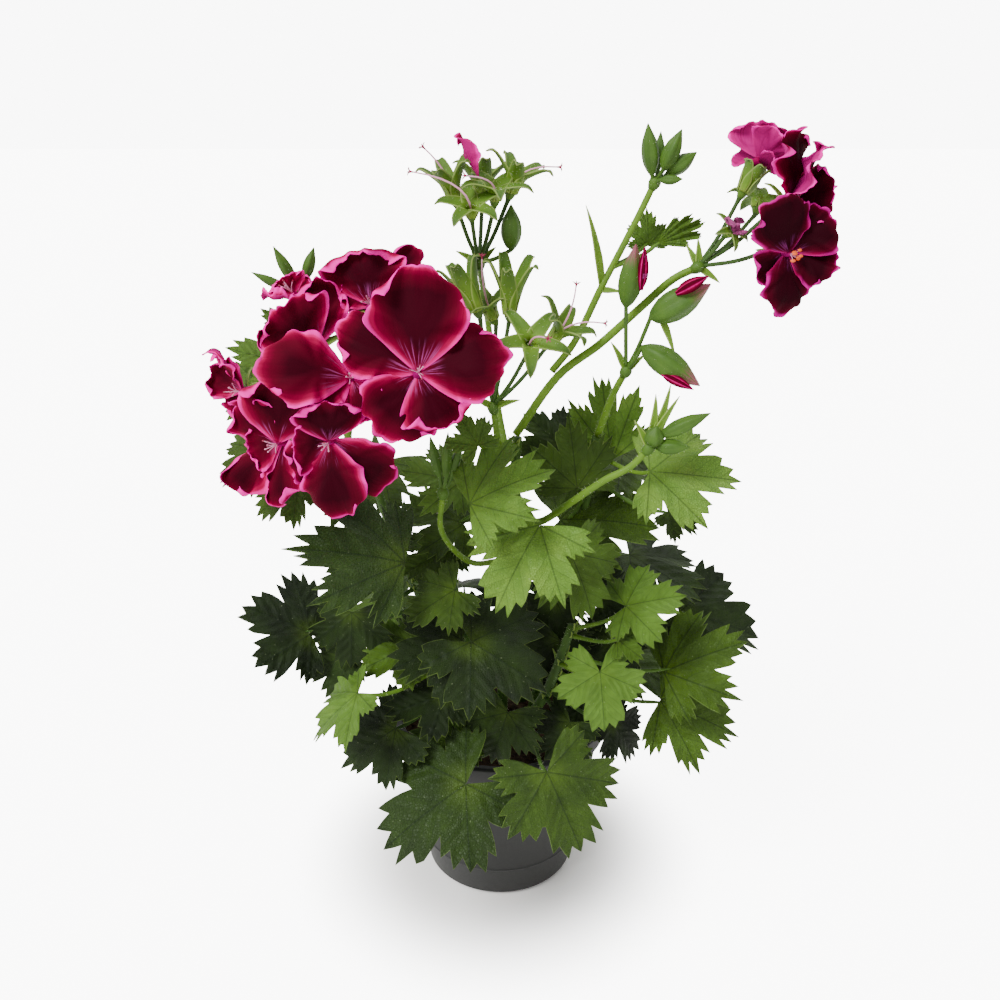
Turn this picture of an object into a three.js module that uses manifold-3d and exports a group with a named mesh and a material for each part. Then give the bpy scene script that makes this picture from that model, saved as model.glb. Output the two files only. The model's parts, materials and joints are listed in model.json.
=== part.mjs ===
// A potted regal pelargonium: a charcoal nursery pot full of soil, leafy stems that stand in it, and
// the flower stalks, blooms and buds that they carry.
// Millimetres, +Z up. The origin is the middle of the pot's base, and the viewer looks along +Y.

import * as THREE from "three";
import Module from "manifold-3d";

const wasm = await Module();
wasm.setup();

// Driving dimensions of the pot and the soil
const POT_HEIGHT = 92;
const POT_BASE_RADIUS = 38.5;
const POT_RIM_RADIUS = 56;
const POT_WALL = 1.6;
const POT_LIP = 2;
const POT_LIP_DEPTH = 9;
const POT_RING_HEIGHT = 19;
const POT_RING_SIZE = 0.7;
const POT_SIDES = 24;
const DRAIN_HOLES = 6;
const DRAIN_SIDES = 6;
const DRAIN_RADIUS = 4;
const DRAIN_CIRCLE = 25;
const SOIL_LEVEL = 82;
const SOIL_CROWN = 3;

// Driving dimensions of the plant
const CLEARANCE = 0.35;
const STEM_HOLE_CLEARANCE = 0.45;
const LEAF_THICKNESS = 0.8;
const PETAL_THICKNESS = 0.7;
const SEPAL_THICKNESS = 1;
const STEM_FOOT_RADIUS = 3;
const STEM_TOP_RADIUS = 2.1;
const STEM_SIDES = 5;
const LEAF_STALK_RADIUS = 1.1;
const PEDICEL_RADIUS = 0.9;
const FLOWER_STALK_RADIUS = 1.6;
const HUB_RADIUS = 2.6;
const CALYX_RADIUS = 3.4;
const CALYX_LENGTH = 5;
const CALYX_WALL = 0.7;
const PETAL_LAYER = 1;
const CLAW_INSET = 1;
const BLOOM_HEART_RADIUS = 2.4;

// The viewer's eye, the angle it looks down and its picture, 1000 pixels wide. A place in that picture
// and a distance y from the pot's axis (negative towards the viewer) give a point of the plant.
const EYE = new THREE.Vector3(0, -490, 417);
const EYE_TILT = THREE.MathUtils.degToRad(23);
const EYE_FOCAL = 1100;
const PICTURE_MIDDLE = 500;
const UP = new THREE.Vector3(0, 0, 1);
const SIDEWAYS = new THREE.Vector3(1, 0, 0);

function seen([px, py, y]) {
  const right = (px - PICTURE_MIDDLE) / EYE_FOCAL;
  const down = (py - PICTURE_MIDDLE) / EYE_FOCAL;
  const ray = new THREE.Vector3(
    right,
    Math.cos(EYE_TILT) - down * Math.sin(EYE_TILT),
    -Math.sin(EYE_TILT) - down * Math.cos(EYE_TILT),
  );
  return EYE.clone().addScaledVector(ray, (y - EYE.y) / ray.y);
}

function point([x, y, z]) {
  return new THREE.Vector3(x, y, z);
}

// The same small generator gives every seeded draw
const DRAW_FACTOR = 1664525;
const DRAW_STEP = 1013904223;
const DRAW_RANGE = 2 ** 32;

function drawsFrom(seed) {
  let state = seed;
  return (low, high) => {
    state = (state * DRAW_FACTOR + DRAW_STEP) % DRAW_RANGE;
    return low + ((high - low) * state) / DRAW_RANGE;
  };
}

// Solids

function solidFrom(vertices, triangles) {
  const vertProperties = new Float32Array(vertices.flatMap((v) => [v.x, v.y, v.z]));
  const triVerts = new Uint32Array(triangles.flat());
  return new wasm.Manifold(new wasm.Mesh({ numProp: 3, vertProperties, triVerts }));
}

function join(solids) {
  return solids.reduce((whole, solid) => whole.add(solid));
}

function solidFromGeometry(geometry) {
  const place = geometry.getAttribute("position");
  const seenBefore = new Map();
  const vertices = [];
  const corners = [];
  for (let i = 0; i < place.count; i++) {
    const v = new THREE.Vector3().fromBufferAttribute(place, i);
    const key = [v.x, v.y, v.z].map((c) => Math.round(c * 1000)).join();
    if (!seenBefore.has(key)) {
      seenBefore.set(key, vertices.length);
      vertices.push(v);
    }
    corners.push(seenBefore.get(key));
  }
  const order = geometry.index ? [...geometry.index.array] : corners.map((_, i) => i);
  const triangles = [];
  for (let i = 0; i < order.length; i += 3) {
    const [a, b, c] = [0, 1, 2].map((k) => corners[order[i + k]]);
    if (a !== b && b !== c && a !== c) triangles.push([a, b, c]);
  }
  return solidFrom(vertices, triangles);
}

// A level direction across the one given, which may point straight up
function acrossFrom(ahead) {
  return new THREE.Vector3().crossVectors(Math.abs(ahead.z) < 0.9 ? UP : SIDEWAYS, ahead).normalize();
}

// A shoot through the places given, with a radius at each. It starts flat, and ends flat or, where the
// last radius is 0, in a point. Its section is round, or flattened and then wide along the direction wide.
function shoot(places, radii, { sides = 5, flat = 1, wide = null } = {}) {
  const vertices = [];
  const triangles = [];
  const count = places.length;
  const pointed = radii.at(-1) === 0;
  const rings = pointed ? count - 1 : count;
  let across = wide;
  for (let i = 0; i < rings; i++) {
    const ahead = places[Math.min(i + 1, count - 1)].clone().sub(places[Math.max(i - 1, 0)]).normalize();
    across ??= acrossFrom(ahead);
    across = across.clone().addScaledVector(ahead, -across.dot(ahead)).normalize();
    const lift = new THREE.Vector3().crossVectors(ahead, across).multiplyScalar(flat);
    for (let k = 0; k < sides; k++) {
      const turn = (2 * Math.PI * k) / sides;
      const spoke = across.clone().multiplyScalar(Math.cos(turn)).addScaledVector(lift, Math.sin(turn));
      vertices.push(places[i].clone().addScaledVector(spoke, radii[i]));
    }
  }
  for (let i = 0; i + 1 < rings; i++) {
    for (let k = 0; k < sides; k++) {
      const a = i * sides + k;
      const b = i * sides + ((k + 1) % sides);
      triangles.push([a, b, b + sides], [a, b + sides, a + sides]);
    }
  }
  const last = (rings - 1) * sides;
  for (let k = 1; k + 1 < sides; k++) {
    triangles.push([0, k + 1, k]);
    if (!pointed) triangles.push([last, last + k, last + k + 1]);
  }
  if (pointed) {
    vertices.push(places[count - 1].clone());
    for (let k = 0; k < sides; k++) triangles.push([last + k, last + ((k + 1) % sides), last + sides]);
  }
  return solidFrom(vertices, triangles);
}

// The place at a share of a path of straight lengths
function alongPath(places, share) {
  const at = share * (places.length - 1);
  const i = Math.min(Math.floor(at), places.length - 2);
  return places[i].clone().lerp(places[i + 1], at - i);
}

function evenRadii(count, first, last) {
  return Array.from({ length: count }, (_, i) => first + ((last - first) * i) / (count - 1));
}

// A thin sheet with the same triangles on both faces and a wall round its outline
function sheet(middle, faces, outline, normal, thickness) {
  const count = middle.length;
  const face = (offset) => middle.map((v) => v.clone().addScaledVector(normal, offset));
  const vertices = [...face(thickness / 2), ...face(-thickness / 2)];
  const triangles = [];
  for (const [a, b, c] of faces) {
    triangles.push([a, b, c], [a + count, c + count, b + count]);
  }
  outline.forEach((a, i) => {
    const b = outline[(i + 1) % outline.length];
    triangles.push([a, a + count, b + count], [a, b + count, b]);
  });
  return solidFrom(vertices, triangles);
}

// Directions of a blade that runs from base to tip and whose face looks towards facing
function bladeFrame(base, tip, facing, roll = 0) {
  const axis = tip.clone().sub(base);
  const length = axis.length();
  const ahead = axis.normalize();
  const normal = facing.clone().addScaledVector(ahead, -facing.dot(ahead)).normalize();
  normal.applyAxisAngle(ahead, THREE.MathUtils.degToRad(roll));
  const right = new THREE.Vector3().crossVectors(ahead, normal);
  return { base, length, ahead, normal, right };
}

// Leaves

// A blade's five lobes: the turn from its middle line in degrees, and the reach as a share of its length
const LOBES = [
  { turn: -104, reach: 0.62 },
  { turn: -52, reach: 0.86 },
  { turn: 0, reach: 1 },
  { turn: 52, reach: 0.86 },
  { turn: 104, reach: 0.62 },
];
const LOBE_HALF = 26;
const SINUS_REACH = 0.76;
const BASE_REACH = 0.3;
const TOOTH_TURN = 13;
const TOOTH_REACH = 0.93;
const NOTCH_TURN = 6;
const NOTCH_REACH = 0.86;
const VEIN_SHARE = 0.5;
const STALK_INSET = 0.08;
const PLEAT = 0.07;
const DROOP = 0.16;
const LEAF_FACING = [0, -0.55, 0.83];

// Height of a blade over its own plane: it droops to the tips and is pleated between the veins
function bladeHeight(across, ahead, length, spread) {
  const reach = Math.hypot(across, ahead) / length;
  const turn = THREE.MathUtils.radToDeg(Math.atan2(across, ahead)) / spread;
  const pleat = Math.min(1, Math.abs(turn - 52 * Math.round(turn / 52)) / LOBE_HALF);
  return length * (PLEAT * reach * pleat - DROOP * reach * reach);
}

// The largest blades are toothed, and the small ones that hide in the mass are plain
function leafBlade({ at, tip, spread = 1, roll = 0, facing = LEAF_FACING, toothed = false, plain = false }) {
  const frame = bladeFrame(at, tip, point(facing), roll);
  const middle = [];
  const place = (turn, reach) => {
    const angle = THREE.MathUtils.degToRad(turn * spread);
    const across = frame.length * reach * Math.sin(angle);
    const ahead = frame.length * reach * Math.cos(angle);
    const height = bladeHeight(across, ahead, frame.length, spread);
    middle.push(
      frame.base
        .clone()
        .addScaledVector(frame.right, across)
        .addScaledVector(frame.ahead, ahead)
        .addScaledVector(frame.normal, height),
    );
    return middle.length - 1;
  };
  const heart = place(0, 0);
  const faces = [];
  const outline = [];
  const last = LOBES.length - 1;
  let sinus = place(LOBES[0].turn - LOBE_HALF, BASE_REACH);
  outline.push(sinus);
  LOBES.forEach(({ turn, reach }, i) => {
    const next = i < last ? SINUS_REACH * Math.min(reach, LOBES[i + 1].reach) : BASE_REACH;
    const rim = [sinus];
    if (i > 0 && !plain) rim.push(place(turn - TOOTH_TURN, reach * TOOTH_REACH));
    if (i > 0 && toothed) rim.push(place(turn - NOTCH_TURN, reach * NOTCH_REACH));
    rim.push(place(turn, reach));
    if (i < last && toothed) rim.push(place(turn + NOTCH_TURN, reach * NOTCH_REACH));
    if (i < last && !plain) rim.push(place(turn + TOOTH_TURN, reach * TOOTH_REACH));
    sinus = place(turn + LOBE_HALF, next);
    rim.push(sinus);
    const vein = toothed ? place(turn, VEIN_SHARE * reach) : heart;
    for (let k = 0; k + 1 < rim.length; k++) faces.push([vein, rim[k + 1], rim[k]]);
    if (toothed) faces.push([vein, rim[0], heart], [vein, heart, sinus]);
    outline.push(...rim.slice(1));
  });
  outline.push(heart);
  return sheet(middle, faces, outline.reverse(), frame.normal, LEAF_THICKNESS);
}

// A leaf's stalk leaves the stem, sags a little and ends inside the blade, near where its veins meet
function leafStalk(root, frame) {
  const end = frame.base.clone().addScaledVector(frame.ahead, STALK_INSET * frame.length);
  const bend = root.clone().lerp(end, 0.6).addScaledVector(UP, -0.06 * root.distanceTo(end));
  bend.addScaledVector(frame.normal, -0.05 * root.distanceTo(end));
  return shoot([root, bend, end], [LEAF_STALK_RADIUS, LEAF_STALK_RADIUS, 0.45], { sides: 3 });
}

function leaf(stemPath, entry) {
  const at = entry.at instanceof THREE.Vector3 ? entry.at : seen(entry.at);
  const tip = entry.tip instanceof THREE.Vector3 ? entry.tip : seen(entry.tip);
  const frame = bladeFrame(at, tip, point(entry.facing ?? LEAF_FACING), entry.roll ?? 0);
  const blade = leafBlade({ ...entry, at, tip });
  return blade.add(leafStalk(alongPath(stemPath, entry.from), frame));
}

// Petals, sepals and buds

// Width of a petal along its length, as a share of its full width: a narrow claw, then a broad fan
function petalSpread(share) {
  const opening = Math.sin((Math.PI / 2) * Math.min(1, share / 0.7));
  const closing = Math.max(0, (share - 0.7) / 0.3);
  return (0.1 + 0.9 * opening) * (1 - 0.25 * closing * closing);
}

// Height of a petal over its own plane: a bulge along it, a tip that curls back and a wavy rim
function petalHeight(share, side, length, { bulge = 0.1, curl = 0.1, wave = 0.05 }) {
  const curled = Math.max(0, share - 0.5);
  return (
    length *
    (bulge * Math.sin(Math.PI * share) * (1 - 0.5 * side * side) -
      4 * curl * curled * curled +
      wave * share * share * Math.cos(1.5 * Math.PI * (side + 1)))
  );
}

const PETAL_COLUMNS = [-1, -1 / 3, 1 / 3, 1];
const PETAL_ROUNDING = 0.2;

// A petal has the two corners of its claw, a row across its middle and a row along its rim
function petal(base, entry, facing) {
  const frame = bladeFrame(base, seen(entry.tip), facing, entry.roll ?? 0);
  const place = (share, side) =>
    frame.base
      .clone()
      .addScaledVector(frame.ahead, frame.length * share * (1 - PETAL_ROUNDING * side * side))
      .addScaledVector(frame.right, (entry.width / 2) * side * petalSpread(share))
      .addScaledVector(frame.normal, petalHeight(share, side, frame.length, entry));
  const rows = [0.5, 1].map((share) => PETAL_COLUMNS.map((side) => place(share, side)));
  const middle = [place(0, -1), place(0, 1), ...rows.flat()];
  const faces = [[0, 3, 2], [0, 4, 3], [0, 1, 4], [1, 5, 4]];
  for (let a = 2; a < 5; a++) faces.push([a, a + 1, a + 5], [a, a + 5, a + 4]);
  const outline = [0, 1, 5, 9, 8, 7, 6, 2];
  return sheet(middle, faces, outline, frame.normal, PETAL_THICKNESS);
}

// Each petal leaves the heart a layer in front of the one after it
function petalFoot(heart, outward, tip, layer) {
  const aside = seen(tip).sub(heart);
  aside.addScaledVector(outward, -aside.dot(outward)).normalize();
  return heart.clone().addScaledVector(outward, PETAL_LAYER * layer).addScaledVector(aside, CLAW_INSET);
}

function bloom({ at, facing, petals }) {
  const heart = seen(at);
  const outward = point(facing).normalize();
  const ends = [-1, PETAL_LAYER * petals.length].map((step) => heart.clone().addScaledVector(outward, step));
  const core = shoot(ends, [BLOOM_HEART_RADIUS, BLOOM_HEART_RADIUS * 0.7], { sides: 4 });
  const feet = petals.map(({ tip }, i) => petalFoot(heart, outward, tip, petals.length - 1 - i));
  return join([core, ...petals.map((entry, i) => petal(feet[i], entry, outward))]);
}

// A pointed green blade, flattened, that leaves its root along ahead and ends at tip
function sepal(root, ahead, tip, width) {
  const length = root.distanceTo(tip);
  const bend = root.clone().addScaledVector(ahead, length * 0.45).lerp(tip, 0.25);
  const wide = new THREE.Vector3().crossVectors(ahead, tip.clone().sub(root));
  if (wide.length() < 0.01 * length) wide.copy(acrossFrom(ahead)).negate();
  const flat = (1.2 * SEPAL_THICKNESS) / width;
  return shoot([root, bend, tip], [width * 0.3, width * 0.55, 0], { sides: 3, flat, wide });
}

// A pedicel leaves the side of its hub and sags a little on its way to what it carries
function pedicelRoute(hub, end) {
  const start = end.clone().sub(hub).setLength(HUB_RADIUS * 0.75).add(hub);
  const bend = start.clone().lerp(end, 0.5).addScaledVector(UP, -0.05 * hub.distanceTo(end));
  return [start, bend, end];
}

// A pedicel and its calyx in one: a cup that opens into a crown of pointed sepals, which lean out from
// the cup's line by lean degrees
function calyx(hub, { at, facing, back = 0, sepals = 5, length = 12, lean = 60, turn = 0 }) {
  const outward = point(facing).normalize();
  const root = seen(at).addScaledVector(outward, -back);
  const across = acrossFrom(outward).negate();
  const vertices = [];
  const ring = (middle, line, radius) => {
    const side = across.clone().addScaledVector(line, -across.dot(line)).normalize();
    for (let k = 0; k < sepals; k++) {
      const spoke = side.clone().applyAxisAngle(line, turn + (2 * Math.PI * (k - 0.5)) / sepals);
      vertices.push(middle.clone().addScaledVector(spoke, radius));
    }
  };
  const route = pedicelRoute(hub, root);
  ring(route[0], route[1].clone().sub(route[0]).normalize(), PEDICEL_RADIUS);
  ring(route[1], route[2].clone().sub(route[0]).normalize(), PEDICEL_RADIUS);
  ring(root, outward, PEDICEL_RADIUS);
  ring(root.clone().addScaledVector(outward, CALYX_LENGTH - SEPAL_THICKNESS), outward, CALYX_RADIUS);
  ring(root.clone().addScaledVector(outward, CALYX_LENGTH), outward, CALYX_RADIUS - CALYX_WALL);
  const triangles = [];
  const [outer, inner] = [3 * sepals, 4 * sepals];
  const angle = THREE.MathUtils.degToRad(lean);
  for (let k = 0; k < sepals; k++) {
    const next = (k + 1) % sepals;
    for (let row = 0; row < outer; row += sepals) {
      const [a, b] = [row + k, row + next];
      triangles.push([a, b, b + sepals], [a, b + sepals, a + sepals]);
    }
    const spoke = across.clone().applyAxisAngle(outward, turn + (2 * Math.PI * k) / sepals);
    const tip = root.clone().addScaledVector(outward, CALYX_LENGTH + length * Math.cos(angle));
    tip.addScaledVector(spoke, CALYX_RADIUS + length * Math.sin(angle));
    const apex = vertices.push(tip) - 1;
    triangles.push([outer + k, outer + next, apex], [outer + next, inner + next, apex]);
    triangles.push([inner + next, inner + k, apex], [inner + k, outer + k, apex]);
    if (k > 0 && k < sepals - 1) triangles.push([0, next, k], [inner, inner + k, inner + next]);
  }
  return solidFrom(vertices, triangles);
}

// A closed bud, with its pedicel where it has one
function bud(hub, root, tip, width) {
  const swell = [0, 0.35, 0.7, 1].map((share) => root.clone().lerp(tip, share));
  const route = hub ? pedicelRoute(hub, root).slice(0, 1) : [];
  const radii = [...route.map(() => PEDICEL_RADIUS), PEDICEL_RADIUS, width / 2, width / 2.6, 0];
  return shoot([...route, ...swell], radii, { sides: 4 });
}

// The swollen end of a stalk
function hubKnob(hub, before) {
  const ahead = hub.clone().sub(before).normalize();
  const places = [-1, -0.4, 0.5, 1].map((step) => hub.clone().addScaledVector(ahead, step * HUB_RADIUS));
  return shoot(places, [0.55, 1, 1, 0.4].map((share) => share * HUB_RADIUS), { sides: 6 });
}

// A stalk and what grows from its end: calyces, buds, narrow bracts and small leaves
function flowerStalk(entry) {
  const { path, radius = FLOWER_STALK_RADIUS, from = 0 } = entry;
  const places = path.map(seen);
  const ahead = places[1].clone().sub(places[0]).normalize();
  places[0].addScaledVector(ahead, from);
  const hub = places.at(-1);
  const radii = evenRadii(places.length, radius, radius * 0.85);
  const parts = [shoot(places, radii), hubKnob(hub, places.at(-2))];
  for (const one of entry.calyces ?? []) parts.push(calyx(hub, one));
  for (const one of entry.buds ?? []) parts.push(bud(hub, seen(one.at), seen(one.tip), one.width));
  for (const one of entry.bracts ?? []) {
    const root = one.at ? seen(one.at) : hub;
    const tip = seen(one.tip);
    parts.push(sepal(root, tip.clone().sub(root).normalize(), tip, one.width ?? 3));
  }
  for (const one of entry.leaves ?? []) parts.push(leaf(places, one));
  return join(parts);
}

// Leafy stems. Each has its path in mm from below the soil, and its leaves: where the stalk meets the
// blade and where the middle lobe ends, in the viewer's picture, and the share of the path it grows from.
const LEAFY_STEMS = {
  left_leafy_stem: {
    path: [[-14, -2, 54], [-18, -5, 92], [-34, -14, 150], [-50, -20, 200], [-60, -22, 236]],
    leaves: [
      { at: [405, 563, -58], tip: [281, 534, -64], spread: 0.72, from: 0.75, toothed: true },
      { at: [300, 480, -44], tip: [250, 512, -50], from: 0.9 },
      { at: [262, 452, -30], tip: [213, 480, -34], from: 0.92, plain: true },
      { at: [292, 366, -12], tip: [230, 346, -16], from: 0.97 },
      { at: [300, 338, -8], tip: [262, 306, -8], from: 0.98, plain: true },
      { at: [262, 392, -20], tip: [204, 382, -24], from: 0.94 },
      { at: [311, 634, -36], tip: [240, 600, -40], spread: 1.05, from: 0.55, toothed: true },
      { at: [352, 612, -40], tip: [350, 676, -46], spread: 0.9, from: 0.6, plain: true },
      { at: [350, 655, -36], tip: [298, 674, -38], from: 0.5, plain: true },
      { at: [415, 645, -40], tip: [356, 668, -54], from: 0.52 },
      { at: [455, 590, -58], tip: [404, 620, -66], from: 0.62 },
    ],
  },
  front_left_leafy_stem: {
    path: [[-8, -18, 54], [-11, -22, 92], [-20, -34, 122], [-26, -40, 150]],
    leaves: [
      { at: [358, 693, -70], tip: [306, 735, -76], roll: 30, from: 0.9, toothed: true },
      { at: [396, 728, -60], tip: [334, 768, -64], from: 0.75, plain: true },
      { at: [466, 784, -82], tip: [376, 846, -96], spread: 1.15, from: 0.5, toothed: true },
      { at: [438, 800, -78], tip: [431, 827, -80], roll: 60, from: 0.45, plain: true },
      { at: [462, 735, -54], tip: [402, 750, -58], from: 0.8 },
      { at: [445, 695, -52], tip: [386, 712, -63], from: 0.95 },
      { at: [508, 712, -60], tip: [488, 768, -66], from: 0.7, plain: true },
      { at: [462, 640, -52], tip: [382, 670, -60], from: 0.98 },
    ],
  },
  front_right_leafy_stem: {
    path: [[10, -18, 54], [13, -22, 92], [24, -32, 124], [34, -36, 160]],
    leaves: [
      { at: [547, 772, -88], tip: [586, 858, -104], spread: 1.05, from: 0.4, toothed: true },
      { at: [600, 672, -60], tip: [606, 734, -76], spread: 1.2, from: 0.8, toothed: true },
      { at: [570, 722, -58], tip: [540, 764, -62], from: 0.6, plain: true },
      { at: [612, 722, -46], tip: [642, 757, -48], from: 0.65, plain: true },
      { at: [618, 640, -52], tip: [652, 628, -56], from: 0.95 },
      { at: [626, 606, -48], tip: [687, 592, -52], spread: 1.1, from: 0.98, toothed: true },
      { at: [664, 672, -40], tip: [748, 634, -46], spread: 0.8, from: 0.85, toothed: true },
      { at: [660, 700, -38], tip: [747, 734, -44], spread: 0.8, from: 0.75, toothed: true },
      { at: [560, 640, -26], tip: [550, 696, -32], from: 0.8, plain: true },
    ],
  },
  centre_leafy_stem: {
    path: [[0, -4, 54], [1, -7, 92], [3, -14, 170], [6, -18, 220], [8, -19, 248]],
    leaves: [
      { at: [471, 642, -62], tip: [554, 692, -76], spread: 1.15, from: 0.5, toothed: true },
      { at: [540, 525, -64], tip: [487, 614, -80], spread: 0.9, from: 0.8, toothed: true },
      { at: [470, 504, -66], tip: [550, 458, -68], spread: 0.8, from: 0.85, toothed: true },
      { at: [570, 552, -52], tip: [600, 620, -60], from: 0.7 },
      { at: [478, 446, -58], tip: [458, 412, -56], from: 0.97 },
      { at: [460, 482, -26], tip: [400, 466, -30], from: 0.92 },
      { at: [464, 524, -18], tip: [402, 500, -20], from: 0.82, plain: true },
      { at: [430, 638, -17], tip: [406, 698, -25], from: 0.44, plain: true },
      { at: [448, 550, -20], tip: [398, 572, -30], from: 0.72, plain: true },
      { at: [520, 600, -28], tip: [474, 592, -32], from: 0.6, plain: true },
    ],
  },
  right_leafy_stem: {
    path: [[14, 0, 54], [17, -3, 92], [32, -10, 160], [40, -16, 215], [44, -18, 248]],
    leaves: [
      { at: [560, 520, -20], tip: [660, 515, -26], from: 0.8, toothed: true },
      { at: [613, 459, -14], tip: [598, 374, -8], spread: 0.55, roll: -25, from: 0.98, toothed: true },
      { at: [577, 488, -32], tip: [570, 416, -24], spread: 0.8, from: 0.9 },
      { at: [560, 447, -8], tip: [524, 408, 0], from: 0.95, plain: true },
      { at: [650, 472, -44], tip: [746, 474, -48], spread: 0.9, from: 0.94, toothed: true },
      { at: [668, 512, -34], tip: [702, 528, -38], from: 0.85, plain: true },
      { at: [680, 612, -8], tip: [766, 630, -12], spread: 1.05, from: 0.6 },
      { at: [590, 690, -28], tip: [566, 738, -34], from: 0.35, plain: true },
      { at: [600, 600, -26], tip: [650, 582, -30], from: 0.6, plain: true },
      { at: [556, 600, -16], tip: [530, 652, -22], from: 0.55, plain: true },
      { at: [612, 640, -24], tip: [588, 692, -30], from: 0.5, plain: true },
    ],
  },
  back_left_leafy_stem: {
    path: [[-8, 14, 54], [-12, 18, 92], [-26, 34, 150], [-36, 44, 205]],
    ring: { seed: 37, count: 6, low: 120, high: 232, first: 104, last: 216, reach: 38, length: 40 },
  },
  back_right_leafy_stem: {
    path: [[10, 14, 54], [13, 18, 92], [28, 34, 150], [40, 42, 210]],
    ring: { seed: 2, count: 6, low: 84, high: 240, first: 76, last: -44, reach: 42, length: 44 },
  },
};

// Leaves of a stem that the viewer doesn't see stand round it at rising heights, turned outwards. They
// alternate between two sides, whose turns in degrees are first and last.
function ringOfLeaves(places, { seed, count, low, high, first, last, reach, length }) {
  const draw = drawsFrom(seed);
  return Array.from({ length: count }, (_, i) => {
    const share = (i + 0.5) / count;
    const height = low + (high - low) * share;
    const side = i % 2 === 0 ? first : last;
    const turn = THREE.MathUtils.degToRad(side + draw(-18, 18));
    const outward = new THREE.Vector3(Math.cos(turn), Math.sin(turn), 0);
    const from = 0.4 + 0.55 * share;
    const root = alongPath(places, from);
    const at = new THREE.Vector3(root.x, root.y, height);
    at.addScaledVector(outward, reach * draw(0.8, 1.15));
    const fall = outward.clone().addScaledVector(UP, -draw(0.15, 0.5));
    const tip = at.clone().addScaledVector(fall, length);
    return { at, tip, from, facing: [outward.x * 0.4, outward.y * 0.4, 0.9], plain: true };
  });
}

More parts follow.
